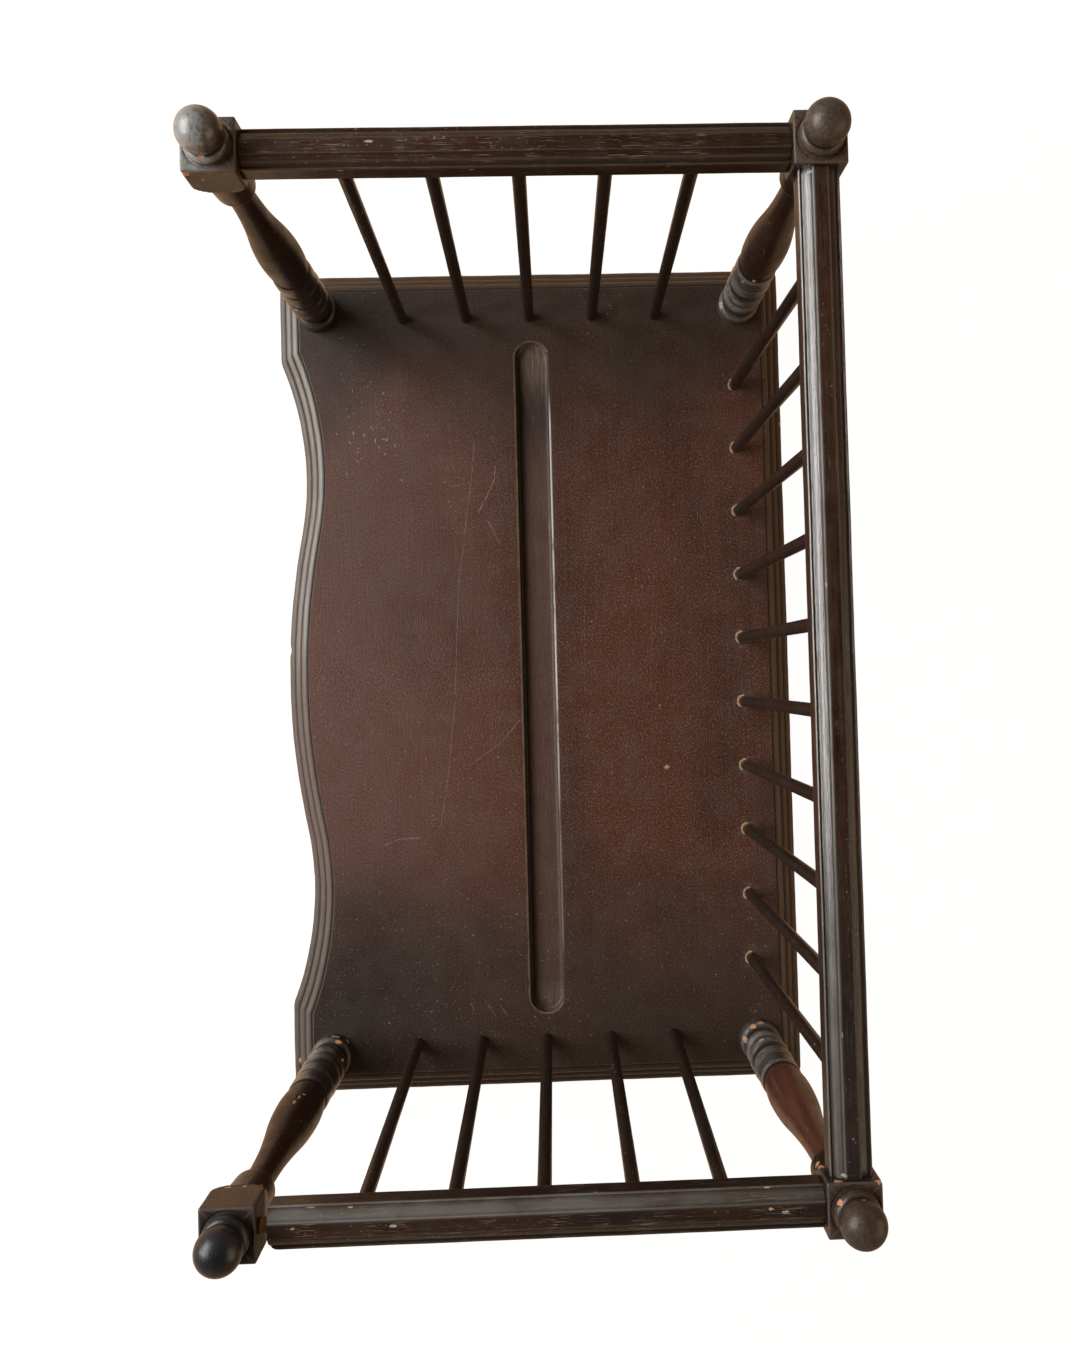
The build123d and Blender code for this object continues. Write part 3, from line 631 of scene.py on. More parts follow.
# dark, warm: black or red in the vase; ringDark: black in the rings; rings, ball: grey film on them, partly dust and
# partly painted sheen; ballNavy: how navy-black the ball is; ballPolish: how shiny; block, dusty: brown dust on the
# block and the ball; gap: painted shade on the block's face in the open joint; chips: place, reach, depth, kind
postWear = dict(
    post_front_left=dict(
        dark=0.9, warm=0.06, ringDark=0.7, rings=0.08, ball=2.2, ballNavy=0.0, ballPolish=0.85, block=0.95, dusty=0.1,
        gap=0.0, chips=[
            ((-209.7, -131.6, 54.0), (1.4, 1.4, 1.1), 0.35, "bare"),
            ((-211.4, -127.2, 232.0), (1.5, 2.0, 1.2), 0.3, "bare"),
            ((-210.2, -131.0, 204.0), (1.2, 1.2, 1.0), 0.3, "bare"),
            ((-207.9, -136.4, 223.8), (1.4, 1.8, 2.2), 0.4, "bare"),
            ((-207.9, -130.8, 218.7), (0.9, 0.9, 0.9), 0.15, "bare"),
            ((-212.3, -115.5, 199.5), (1.4, 1.4, 3.2), 0.3, "bare")]),
    post_front_right=dict(
        dark=0.85, warm=0.1, ringDark=0.5, rings=0.75, ball=0.04, ballNavy=0.92, ballPolish=0.42, block=0.1, dusty=0.0,
        gap=1.0, chips=[
            ((207.6, -124.4, 23.9), (1.5, 3.2, 1.8), 0.6, "bare"),
            ((209.1, -121.4, 28.3), (1.6, 2.6, 1.3), 0.5, "bare"),
            ((211.4, -117.4, 21.5), (2.4, 1.8, 1.6), 0.3, "chalk"),
            ((215.1, -116.3, 42.8), (1.3, 1.3, 1.3), 0.35, "bare"),
            ((208.3, -125.4, 119.2), (1.0, 0.9, 1.9), 0.2, "bare"),
            ((208.2, -124.3, 113.3), (1.0, 0.8, 2.0), 0.2, "bare"),
            ((208.5, -122.9, 108.9), (1.0, 0.8, 1.3), 0.2, "bare"),
            ((207.9, -131.2, 208.3), (0.9, 1.5, 0.7), 0.3, "bare"),
            ((207.9, -124.3, 208.1), (0.9, 2.4, 0.6), 0.3, "bare"),
            ((211.7, -119.7, 199.5), (1.0, 1.2, 0.8), 0.3, "bare")]),
    post_back_left=dict(
        dark=0.25, warm=0.1, ringDark=0.1, rings=0.75, ball=0.1, ballNavy=0.0, ballPolish=0.3, block=0.7, dusty=0.55,
        gap=0.0, chips=[
            ((-216.9, 113.4, 27.5), (3.0, 1.6, 2.6), 0.3, "chalk"),
            ((-209.5, 122.3, 88.2), (1.2, 1.2, 1.4), 0.3, "bare"),
            ((-211.5, 117.0, 82.5), (1.4, 1.4, 1.0), 0.2, "chalk"),
            ((-208.6, 120.0, 222.0), (1.4, 3.6, 3.6), 0.2, "chalk")]),
    post_back_right=dict(
        dark=0.0, warm=0.8, ringDark=0.1, rings=0.75, ball=0.08, ballNavy=0.0, ballPolish=0.2, block=0.3, dusty=0.3,
        gap=0.0, chips=[
            ((209.0, 119.6, 27.9), (1.8, 2.4, 2.2), 0.6, "bare"), ((207.4, 124.5, 26.8), (1.4, 2.6, 1.8), 0.5, "bare"),
            ((216.8, 115.0, 28.0), (3.2, 1.6, 1.8), 0.5, "bare"), ((209.1, 120.6, 52.5), (1.4, 2.6, 1.2), 0.3, "chalk"),
            ((213.6, 116.5, 196.1), (1.8, 1.8, 1.6), 0.4, "bare"),
            ((207.9, 114.4, 210.6), (1.2, 1.8, 2.0), 0.4, "bare"),
            ((207.9, 118.0, 224.5), (1.0, 2.4, 1.0), 0.3, "bare"),
            ((207.9, 134.6, 225.4), (1.4, 2.2, 1.2), 0.4, "bare"),
            ((213.6, 117.1, 229.8), (1.6, 1.6, 2.0), 0.4, "bare"),
            ((209.9, 125.3, 236.5), (0.9, 0.9, 0.9), 0.2, "bare"),
            ((230.5, 119.0, 209.0), (1.6, 3.0, 1.6), 0.5, "bare")]),
)
turnedLook = dict(
    grain=(0, 0, 1), streak=(60, 2.2),
    deep=(0.0095, 0.0054, 0.0037), middle=(0.029, 0.0162, 0.0106), warm=(0.039, 0.0195, 0.0115), warmth=0.4,
    vein=0.4, mottle=0.18, fleck=(0.05, 0.032, 0.024),
    rubbed=(0.10, 0.088, 0.08), rubShare=0.5, bare=(0.44, 0.19, 0.085), barePale=(0.58, 0.33, 0.19),
    film=0.10, filmTone=(0.07, 0.066, 0.064), dust=0.5, dustTone=(0.24, 0.19, 0.16),
    rough=(0.30, 0.44), fibreHeight=0.035, streakHeight=0.05, blotchHeight=0.26, gritHeight=0.03, gloss=0.24,
    coat=0.8, coatRough=0.13, coatBy="polish", sheen=0.06,
    black=(0.005, 0.0023, 0.0013), red=(0.112, 0.042, 0.028), navy=(0.006, 0.0085, 0.015),
    # greyDustAndSheen: the grey film, partly dust and partly painted sheen
    dusty=(0.10, 0.072, 0.050), greyDustAndSheen=(0.24, 0.25, 0.254),
)


# circle arc that stands upright at its first end: radius there, minus R, plus the root of R squared less height squared
def swell(r0, z0, r1, z1, count):
    drop, tall = r0 - r1, z1 - z0
    radius = (drop**2 + tall**2) / (2 * abs(drop))
    z = np.linspace(z0, z1, count)
    r = r0 - np.sign(drop) * (radius - np.sqrt(radius**2 - (z - z0) ** 2))
    return np.stack([r, z], -1)


# turned bead between two heights: the circle arc through its two ends and its fullest radius midway
def beadLine(full, ends, low, high, count):
    bulge, half = full - ends, (high - low) / 2
    radius = (bulge**2 + half**2) / (2 * bulge)
    z = np.linspace(low, high, count)
    return np.stack([full - radius + np.sqrt(radius**2 - (z - (low + high) / 2) ** 2), z], -1)


# half outline of the turning below the block, as radius and height above the board
def turnedLine(post):
    band, cup, belly, neck = [post[part] for part in ("band", "cup", "belly", "neck")]
    coveTop, beadTop, bandTop, secondTop, cupTop = [post[p + "Top"] for p in ("cove", "bead", "band", "second", "cup")]
    bellyAt, neckAt, bellAt = post["bellyAt"], post["neckAt"], post["bellAt"]
    footNose, cupNose, bellNose = post["footNose"], post["cupNose"], post["bellNose"]
    quirk, q, bowed = band - post["quirk"], post["quirkHalf"], band + post["bow"]
    turn = (belly - post["turnShare"] * (belly - neck), bellyAt + post["turnShare"] * (neckAt - bellyAt))
    parts = [
        [(post["foot"], 0.0)], arc((post["foot"] - footNose, post["footHigh"] - footNose), footNose, 0, 90, 7),
        [(post["cove"] - post["quirk"], post["footHigh"]), (post["cove"], coveTop)],
        beadLine(post["bead"], quirk, coveTop, beadTop, 18),
        [(band, beadTop + q), (bowed, (beadTop + bandTop) / 2), (band, bandTop - q), (quirk, bandTop),
         (band, bandTop + q), (bowed, (bandTop + secondTop) / 2), (band, secondTop - q), (quirk, secondTop),
         (cup, secondTop + q), (cup, cupTop - cupNose), ((cup + post["vaseFoot"]) / 2, cupTop - cupNose / 4)],
        swell(belly, bellyAt, post["vaseFoot"], cupTop, 16)[::-1], swell(belly, bellyAt, *turn, 20)[1:],
        swell(neck, neckAt, *turn, 30)[::-1][1:], swell(neck, neckAt, post["bellNeck"], bellAt, 8)[1:],
        arc((post["bell"] - bellNose, bellAt + bellNose), bellNose, -90, 0, 7), [(post["bellTop"], post["blockAt"])],
    ]
    return softLine(np.concatenate([np.asarray(p, float) for p in parts]), post["step"], post["soft"])


# half outline of the ring, the collar and the flattened ball: its side one circle arc, its crown a flatter one
def finialLine(post):
    half, collar, collarTop = post["ballHalf"], post["collar"], post["collarTop"]
    side = post["ballSide"] * half
    middle = post["ball"] - side
    level = collarTop + sqrt(side**2 - (collar - middle) ** 2)
    crown = (middle**2 + half**2 - side**2) / (2 * (half - side))
    crownAt = level + half - crown
    turn = degrees(atan2(level - crownAt, middle))
    low = degrees(atan2(collarTop - level, collar - middle))
    ring = beadLine(post["ring"], collar, post["blockTop"], post["ringTop"], 12)
    ball = np.concatenate([arc((middle, level), side, low, turn, 16), arc((0, crownAt), crown, turn, 90, 16)[1:]])
    line = softLine(np.concatenate([ring, [(collar, collarTop)], ball]), post["step"] * 0.8, post["soft"] * 0.8)
    line[-1] = ball[-1]
    return line


# angle from the middle of the nearest side of a square, 0 there and an eighth of a turn at a corner
def sideTurn(angle):
    return np.abs((angle + pi / 4) % (pi / 2) - pi / 4)


# distance from the axis to a square with rounded corners, in the direction of each angle
def squareReach(angle, half, arris):
    turn = sideTurn(angle)
    inner = half - arris
    mid = inner * (np.cos(turn) + np.sin(turn))
    rounded = mid + np.sqrt(np.maximum(mid**2 - 2 * inner**2 + arris**2, 0))
    return np.where(np.tan(turn) <= inner / half, half / np.cos(turn), rounded)


# how fast a half outline draws out along its length: change of radius against the step
def slope(line):
    along = np.gradient(line, axis=0)
    return along[:, 0] / np.maximum(np.hypot(*along.T), 1e-9)


# post skin: every level is the smaller of a circle and a rounded square, so one grid holds turning and block
def postGrid(post, place):
    body, top = turnedLine(post), finialLine(post)
    half, arris, dish, blockTop = post["blockHalf"], post["arris"], post["dish"], post["blockTop"]
    squareAt = post["blockAt"] + post["turnedHigh"]
    loose = 60.0  # a square this big never shows
    low = [(0.0, loose, -post["tenonDeep"]), (post["tenon"], loose, -post["tenonDeep"]), (post["tenon"], loose, -0.2)]
    block = [(r, half, z) for r, z in swell(half * sqrt(2), squareAt, post["blockFoot"], post["blockAt"], 8)[::-1]]
    block += [(loose, half, z) for z in np.linspace(squareAt + 1, blockTop - arris, 14)]
    block += [(loose, half - arris + arris * np.cos(t), blockTop - arris + arris * np.sin(t))
              for t in np.linspace(0.3, pi / 2, 4)]
    block += [(dish + 0.3, half - arris, blockTop), (dish, half, blockTop - 0.1),
              (dish - 0.3, half, blockTop - post["dishDeep"])]
    levels = np.array(low + [(r, loose, z) for r, z in body] + block + [(r, loose, z) for r, z in top]
                      + [(0.0, loose, top[-1][1])])
    phase = np.linspace(0, 2 * pi, post["columns"], endpoint=False)
    angle = phase + post["cornerDense"] * np.sin(4 * phase) / 4  # denser towards the block's corners
    reach = np.minimum(levels[:, :1], squareReach(angle[None, :], levels[:, 1:2], arris))
    z = levels[:, 2:3] * np.ones(len(angle))
    reach = reach * (1 + post["uneven"] * ripple(z, post["unevenLength"], place[0] + place[1]) * (reach < 30))
    grid = np.stack([place[0] + reach * np.cos(angle), place[1] + reach * np.sin(angle), boardTop + z], -1)

    onBody = slice(len(low), len(low) + len(body))
    onBlock = slice(onBody.stop, onBody.stop + len(block))
    onFinial = slice(onBlock.stop, len(levels) - 1)
    rub, crease, upward = np.zeros(reach.shape), np.zeros(reach.shape), np.ones(reach.shape)
    # crease: painted shade in the hollows and along the ring lines; rub: wear on proud parts and pale edges beside the
    # lines
    proud = proudness(body, 2, 0.1)
    lines, halves = np.array(post["ringLines"]).T
    fromLine = body[:, 1:] - lines
    beside = bell(np.abs(fromLine) - halves - 1.0, 0.6).max(1)
    rub[onBody] = np.maximum(np.maximum(proud, 0), 0.75 * beside)[:, None]
    crease[onBody] = np.maximum(-proud, bell(fromLine, halves, 4).max(1))[:, None]
    corner = 0.9 * bell(sideTurn(angle) - pi / 4, 0.06)
    edge = bell(levels[onBlock, 2] - blockTop + 0.3, 0.6) * (levels[onBlock, 0] > dish + 1)
    rub[onBlock] = np.maximum(corner, edge[:, None])
    proud = proudness(top, 2, 0.25)
    rub[onFinial] = 0.6 * np.maximum(proud, 0)[:, None]
    crease[onFinial] = np.maximum(-proud, 0)[:, None]
    upward[onBody] = np.clip(0.3 - 3.0 * slope(body), 0, 1)[:, None]  # film keeps to the faces that look up
    upward[onFinial] = np.clip(0.35 - 1.1 * slope(top), 0, 1)[:, None]
    return grid, rub, crease, upward


# masks of one post: its share of each kind of wear, painted shade and painted sheen, times ramps on the height for
# vase, rings, block and ball
def postTints(wear, place, grid, rub, crease, upward):
    level, back = grid[..., 2] - boardTop, grid[..., 1] - place[1]
    vaseLow, vaseHigh = postShape["vaseZone"]
    onVase = ramp(level, vaseLow, 4) * ramp(-level, -vaseHigh, 8)
    onRings, onBall = ramp(-level, -postShape["ringsBelow"], 4), ramp(level, postShape["ballAbove"], 3)
    onBlock = ramp(level - postShape["blockAt"], 4, 3) * ramp(-level, -postShape["ringTop"], 3)
    onTop = bell(level - postShape["blockTop"], 0.7)
    lit = np.clip(0.6 - 0.075 * back, 0, 1)  # the lit side, towards the open front, where the painted sheen goes
    # painted shade on the block's face in the open joint
    gapShade = wear["gap"] * onBlock * ramp(back, postShape["gapDeep"], 0.8)
    gapSide = wear["gap"] * onBlock * (grid[..., 0] < place[0] - 10)
    dusty = wear["block"] * np.maximum(onTop, 0.3 * onBlock) + wear["dusty"] * onBall
    polish = 0.25 + (0.3 * wear["warm"] - 0.15) * onVase + 0.6 * onRings + (wear["ballPolish"] - 0.25) * onBall
    return dict(
        rub=rub * (1 - 0.6 * wear["ringDark"] * onRings), crease=crease, navy=wear["ballNavy"] * onBall,
        dark=np.maximum(wear["dark"] * onVase + wear["ringDark"] * onRings, gapShade),
        warm=wear["warm"] * onVase + 0.12 * gapSide,
        # grey film: partly dust, partly painted sheen, on the lit and upward faces
        film=(wear["rings"] * onRings + wear["ball"] * onBall) * lit * upward * (1 - 0.95 * crease),
        dusty=dusty * (1 - gapShade) * (1 - crease), gap=gapShade, polish=np.clip(polish, 0, 1) * (1 - crease))


# turned extras, one over the other: a blacker or redder vase, a navy ball, brown dust and a patchy grey film that is
# partly dust and partly painted sheen
def markTurned(tree, at, look, tone, rough, height):
    fine = cloud(tree, at, (1.3, 1.3, 1.3), 3, 0.7)
    black = times(tree, tint(tree, "dark"), rise(tree, cloud(tree, at, (12, 12, 50), 2), 0.3, 0.6, 0.7, 1.0))
    red = times(tree, tint(tree, "warm"), rise(tree, cloud(tree, at, (3.2, 3.2, 70), 4, 0.6), 0.32, 0.64, 0.45, 1.0))
    dusty = times(tree, tint(tree, "dusty"), rise(tree, fine, 0.38, 0.62, 0.45, 1.0))
    patch = times(tree, rise(tree, cloud(tree, at, (4.5, 4.5, 4.5), 4, 0.65), 0.30, 0.58, 0.35, 1.0),
                  rise(tree, fine, 0.32, 0.6, 0.6, 1.1))
    film = reckon(tree, "MULTIPLY", tint(tree, "film"), patch, clamp=True)
    for share, name in ((black, "black"), (red, "red"), (tint(tree, "navy"), "navy"), (dusty, "dusty"),
                        (film, "greyDustAndSheen")):
        tone = blendTone(tree, share, tone, look[name])
    rough = reckon(tree, "MULTIPLY_ADD", tint(tree, "gap"), 0.6, rough, clamp=True)
    return tone, rough, reckon(tree, "MULTIPLY_ADD", fine, 0.12, height)


turnedFinish = woodFinish("turnedFinish", turnedLook, markTurned)
for postName, place in postPlaces.items():
    wear = postWear[postName]
    grid, rub, crease, upward = postGrid(postShape, place)
    chips = chipAway(grid, wear["chips"], lambda g: np.stack(
        [np.full(g.shape[:2], place[0]), np.full(g.shape[:2], place[1]), g[..., 2]], -1))
    tints = dict(postTints(wear, place, grid, rub, crease, upward), **chips)
    makePiece(postName, grid, tints, turnedFinish, 32.0)
print("four posts turned")


# rails

railShape = dict(
    half=8.75, side=8.9, crown=3.4, foot=0.5, step=0.42, soft=0.2, rowStep=1.1, endRound=0.6,
    waver=0.07, waverLength=90.0,
    tipRows=(0, 0, 0.12, 0.35, 0.75),  # rows at each end, from its face
    line=((0.94, 0.15), (0.88, 0.0), (0.82, 0.03), (0.67, 0.45), (0.47, 0.74), (0.41, 0.78), (0.39, 1.0)),
    shadeLines=(0.43, 0.87), brightLines=(0.37, 0.97),  # shares of the half width: painted shade; wear and painted glint
    openGap=3.6, openRound=4.0, openFade=40.0,  # the right rail has drawn away from its front post
)
# creaseShade: how dark the painted shade is in the lines on its right and left half; sideShade: painted shade on its
# sides; slate: how blue-black its right end is; railSheen: middle, half width and strength of a painted grey sheen;
# chips: place, reach, depth, kind
railRuns = dict(
    rail_left=dict(
        start=(-endX, frontY), along=(0, 1), creaseShade=(0.9, 0.9), sideShade=0.4, slate=0.0, railSheen=(0.0, 3.0, 0.0), chips=[
            ((-220.5, -61.3, 224.2), (0.66, 2.5, 0.6), 0.1, "chalk"),
            ((-210.5, -74.3, 219.5), (0.6, 1.7, 0.48), 0.25, "bare"),
            ((-210.5, -20.0, 219.0), (0.48, 1.3, 0.42), 0.25, "bare"),
            ((-227.6, 30.0, 219.0), (0.48, 1.8, 0.48), 0.25, "bare"),
            ((-210.6, 62.0, 219.6), (0.42, 1.4, 0.42), 0.2, "bare")]),
    rail_right=dict(
        start=(endX, frontY), along=(0, 1), creaseShade=(0.8, 0.35), sideShade=0.45, slate=0.3, railSheen=(-5.6, 3.0, 0.6), chips=[
            ((218.2, -101.3, 224.2), (0.66, 0.96, 0.6), 0.15, "bare"),
            ((211.4, -94.4, 220.9), (0.48, 2.4, 0.48), 0.2, "bare"),
            ((212.0, -78.8, 221.0), (0.42, 1.4, 0.42), 0.2, "bare"),
            ((218.7, -61.2, 224.2), (0.78, 1.8, 0.6), 0.1, "chalk"),
            ((218.0, 90.8, 224.2), (0.72, 1.3, 0.6), 0.15, "bare"),
            ((219.5, 96.8, 224.2), (0.66, 1.9, 0.6), 0.1, "chalk"),
            ((210.7, 90.0, 221.1), (0.48, 1.8, 0.48), 0.25, "bare"),
            ((210.5, 20.0, 220.0), (0.42, 1.6, 0.42), 0.2, "bare"),
            ((227.0, -30.0, 220.0), (0.48, 1.2, 0.48), 0.2, "bare")]),
    rail_back=dict(
        start=(-endX, backY), along=(1, 0), creaseShade=(1.0, 0.15), sideShade=0.1, slate=0.75, railSheen=(5.3, 2.6, 0.9), chips=[
            ((-206.0, 121.0, 223.0), (0.96, 3, 1.2), 0.1, "chalk"),
            ((206.2, 121.3, 223.5), (0.96, 4.2, 1.2), 0.1, "chalk"),
            ((-34.0, 121.4, 223.9), (1.8, 0.48, 0.48), 0.15, "bare"),
            ((40.0, 117.5, 220.5), (1.4, 0.48, 0.48), 0.15, "chalk"),
            ((120.0, 117.0, 220.0), (1.2, 0.48, 0.48), 0.15, "chalk"),
            ((150.0, 122.0, 224.0), (1.8, 0.48, 0.48), 0.1, "chalk")]),
)
railLook = dict(
    grain=(0, 1, 0), streak=(55, 1.6),
    deep=(0.012, 0.0056, 0.0034), middle=(0.043, 0.0198, 0.0108), warm=(0.056, 0.0242, 0.0125), warmth=0.45,
    vein=0.5, mottle=0.25, fleck=(0.085, 0.052, 0.036),
    rubbed=(0.10, 0.074, 0.054), rubShare=0.35, bare=(0.40, 0.20, 0.125), barePale=(0.55, 0.37, 0.28),
    film=0.06, filmTone=(0.085, 0.08, 0.078), dust=0.55, dustTone=(0.28, 0.22, 0.18),
    rough=(0.30, 0.44), fibreHeight=0.08, streakHeight=0.09, blotchHeight=0.10, gritHeight=0.03, gloss=0.25,
    coat=0.4, coatRough=0.2, sheen=0.0,
    # railSheen: painted grey sheen; glint: painted silvery highlight on the arrises
    slate=(0.014, 0.0155, 0.019), railSheen=(0.172, 0.178, 0.184), glint=(0.42, 0.44, 0.46), hair=(0.19, 0.155, 0.13),
    scratched=0.75,
)
backRailLook = dict(
    railLook, grain=(1, 0, 0),
    deep=(0.014, 0.0075, 0.005), middle=(0.060, 0.0275, 0.0155), warm=(0.070, 0.031, 0.0168),
    rubbed=(0.13, 0.115, 0.10), film=0.1, filmTone=(0.085, 0.08, 0.076), rough=(0.26, 0.40), gloss=0.3,
    coat=1.0, coatBy="polish", scratched=0.25,
)


# rail section as across and height: plain sides, an edge bead, a slope and a raised strip, mirrored about the middle
def railLine(rail):
    half, side, crown = rail["half"], rail["side"], rail["crown"]
    marks = [(half * a, side + crown * b) for a, b in rail["line"]]
    right = [(half - rail["foot"], 0.0), (half, rail["foot"]), (half, side), *marks]
    points = np.array(right + [(-a, b) for a, b in right[::-1]] + [right[0]])
    return softLine(points, rail["step"], rail["soft"])[:-1]


# rail skin: the section carried along a straight path, drawn in a little at both ends and closed there; with it bell
# curves about the section's lines for painted shade and wear, and about the painted sheen's middle
def railGrid(rail, run, length, level, gap):
    line = railLine(rail)
    half, side, endRound = rail["half"], rail["side"], rail["endRound"]
    middle = np.array([0.0, (side + rail["crown"]) / 2])
    tip = np.array(rail["tipRows"])
    spots = np.concatenate([tip, np.linspace(2, length - 2, int(length / rail["rowStep"])), length - tip[::-1]])
    edge = np.minimum(spots, length - spots)
    draw = endRound - np.sqrt(endRound**2 - np.maximum(endRound - edge, 0) ** 2)
    outward = line - middle
    outward /= np.linalg.norm(outward, axis=1, keepdims=True)
    section = line[None] - outward[None] * draw[:, None, None]
    section[0], section[-1] = middle, middle
    across = section[..., 0] + rail["waver"] * ripple(spots, rail["waverLength"], length)[:, None]
    up = level + section[..., 1]
    place = spots[:, None] * np.ones(len(line))
    if gap:
        near = ramp(across - half, -rail["openRound"], rail["openRound"])
        cut = rail["openRound"] * (1 - np.sqrt(1 - near**2))
        place = place + (rail["openGap"] + cut) * np.clip(1 - place / rail["openFade"], 0, 1)
    along = np.array(run["along"], float)
    right = np.array([along[1], -along[0]])
    flat = np.array(run["start"]) + along * (place + postShape["blockHalf"])[..., None] + right * across[..., None]
    grid = np.concatenate([flat, up[..., None]], -1)

    proud = proudness(np.concatenate([line, line[:1]]), 2, 0.10)[:-1]
    onCrown, above = line[:, 1] > side * 0.95, up > level + side * 0.95
    out = np.abs(line[:, :1]) / half
    # crease: painted shade in the section's hollows, along its shade lines and on its sides
    creaseShade = np.maximum(-proud, 0.7 * bell(out - rail["shadeLines"], 0.028, 4).max(1) * onCrown)
    rightShade, leftShade = run["creaseShade"]
    creaseShade = creaseShade * np.where(line[:, 0] > 0, rightShade, leftShade)
    bright = np.maximum(proud, bell(out - rail["brightLines"], 0.022).max(1) * onCrown)
    sheenAt, sheenHalf, strength = run["railSheen"]
    # painted sheen over the slope, with painted glints on the arrises beside it
    arris = bell(out - rail["brightLines"], 0.036).max(1) * onCrown * (line[:, 0] * sheenAt > 0)
    railSheen = np.maximum(strength * bell(across - sheenAt, sheenHalf, 10) * above, 1.9 * strength * arris)
    return grid, dict(
        rub=np.maximum(bright, 0.7 * bell(edge, 0.5)[:, None]),
        crease=np.maximum(creaseShade, run["sideShade"] * (up < level + side * 0.9)),
        railSheen=railSheen * np.interp(spots, [0, length * 0.6, length], [1.0, 0.92, 0.4])[:, None],
        polish=np.clip((across - 1.2) / 0.8, 0.06, 1) * above)


# rail extras, one over the other: blue-black slate, a painted grey sheen with painted silvery glints on the arrises in
# long patches, and hair scratches
def markRail(tree, at, look, tone, rough, height):
    patch = rise(tree, cloud(tree, at, (30, 30, 6), 4, 0.6), 0.32, 0.62, 0.4, 1.0)
    railSheen = tint(tree, "railSheen")
    hair = times(tree, rise(tree, cloud(tree, at, [9.0 if g else 0.36 for g in look["grain"]], 3, 0.6), 0.57, 0.65),
                 rise(tree, cloud(tree, at, (17, 17, 17), 2), 0.42, 0.6), look["scratched"])
    for share, name in ((times(tree, tint(tree, "slate"), patch), "slate"), (times(tree, railSheen, patch), "railSheen"),
                        (times(tree, rise(tree, railSheen, 0.95, 1.3), patch), "glint"), (hair, "hair")):
        tone = blendTone(tree, share, tone, look[name])
    return tone, rough, height


endRailFinish = woodFinish("endRailFinish", railLook, markRail)
backRailFinish = woodFinish("backRailFinish", backRailLook, markRail)
for railName, run in railRuns.items():
    low, high = [np.array(corner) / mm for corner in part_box(railName)]
    centre = (low + high) / 2
    length = float(np.dot(high[:2] - low[:2], run["along"]))
    grid, tints = railGrid(railShape, run, length, low[2], railName == "rail_right")
    tints.update(chipAway(grid, run["chips"], lambda g: np.where(np.array(run["along"] + (0,)) > 0, g, centre)))
    tints["slate"] = run["slate"] * ramp(grid[..., 0], 40, 130)  # grows towards the board's right end
    makePiece(railName, grid, tints, backRailFinish if railName == "rail_back" else endRailFinish, 24.0)
print("three rails run")


# spindles

spindleShape = dict(
    radius=3.175, columns=28, rows=64, boardSeat=8.0, railSeat=7.0,
    uneven=0.014, waveLengths=(70.0, 31.0), twist=40.0,
    bareOne=("right", 5), bareShare=0.62, bareReach=15.0,  # one spindle has lost its stain under the rail
)
spindleLook = dict(
    turnedLook, streak=(40, 1.2),
    deep=(0.0095, 0.006, 0.0046), middle=(0.021, 0.0118, 0.0082), warm=(0.03, 0.0155, 0.0103),
    dust=0.8, blotchHeight=0.08, film=0.08, coat=0.25, coatBy=None,
)


# spindle skin: circles of nearly even radius square to a leaning line, closed at both ends
def spindleGrid(spindle, foot, head, phase):
    lean = (head - foot) / np.linalg.norm(head - foot)
    foot, head = foot - lean * spindle["boardSeat"], head + lean * spindle["railSeat"]
    length = np.linalg.norm(head - foot)
    first = np.cross(lean, (0.3, 0.95, 0.0))
    first /= np.linalg.norm(first)
    second = np.cross(lean, first)
    run = np.concatenate([[0, 0], np.linspace(0.4, length - 0.4, spindle["rows"]), [length, length]])
    angle = np.linspace(0, 2 * pi, spindle["columns"], endpoint=False)
    long, short = spindle["waveLengths"]
    wave = ripple(run, long, phase)[:, None] + ripple(run[:, None] + spindle["twist"] * np.cos(angle), short, phase)
    radius = spindle["radius"] * (1 + spindle["uneven"] * wave / 2)
    radius[[1, -2]] -= 0.3
    radius[[0, -1]] = 0
    return (foot + lean * run[:, None, None] + radius[..., None]
            * (first * np.cos(angle)[:, None] + second * np.sin(angle)[:, None]))


spindleFinish = woodFinish("spindleFinish", spindleLook)
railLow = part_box("rail_back")[0][2] / mm
endGap, backGap = galleryRows["endGap"], galleryRows["backGap"]
endInset, backInset = galleryRows["endInset"], galleryRows["backInset"]
endYs = np.linspace(frontY + endGap, backY - endGap, galleryRows["endCount"])
backXs = np.linspace(backGap - endX, endX - backGap, galleryRows["backCount"])
rowPlans = dict(
    left=[((endInset - endX, y), (-endX, y)) for y in endYs],
    right=[((endX - endInset, y), (endX, y)) for y in endYs],
    back=[((x, backY - backInset), (x, backY)) for x in backXs],
)
for side, plan in rowPlans.items():
    for number, (foot, head) in enumerate(plan, start=1):
        phase = number * 1.7 + len(side)
        grid = spindleGrid(spindleShape, np.array([*foot, boardTop]), np.array([*head, railLow]), phase)
        bareShare = spindleShape["bareShare"] if (side, number) == spindleShape["bareOne"] else 0.0
        raw = bareShare * ramp(grid[..., 2] - railLow, -spindleShape["bareReach"], 8)
        makePiece(f"spindle_{side}_{number}", grid, dict(rub=0.0, crease=0.0, bare=raw, chalk=0.0),
                  spindleFinish)
print("twenty spindles set")


# dowel pins, seen only in the open joint

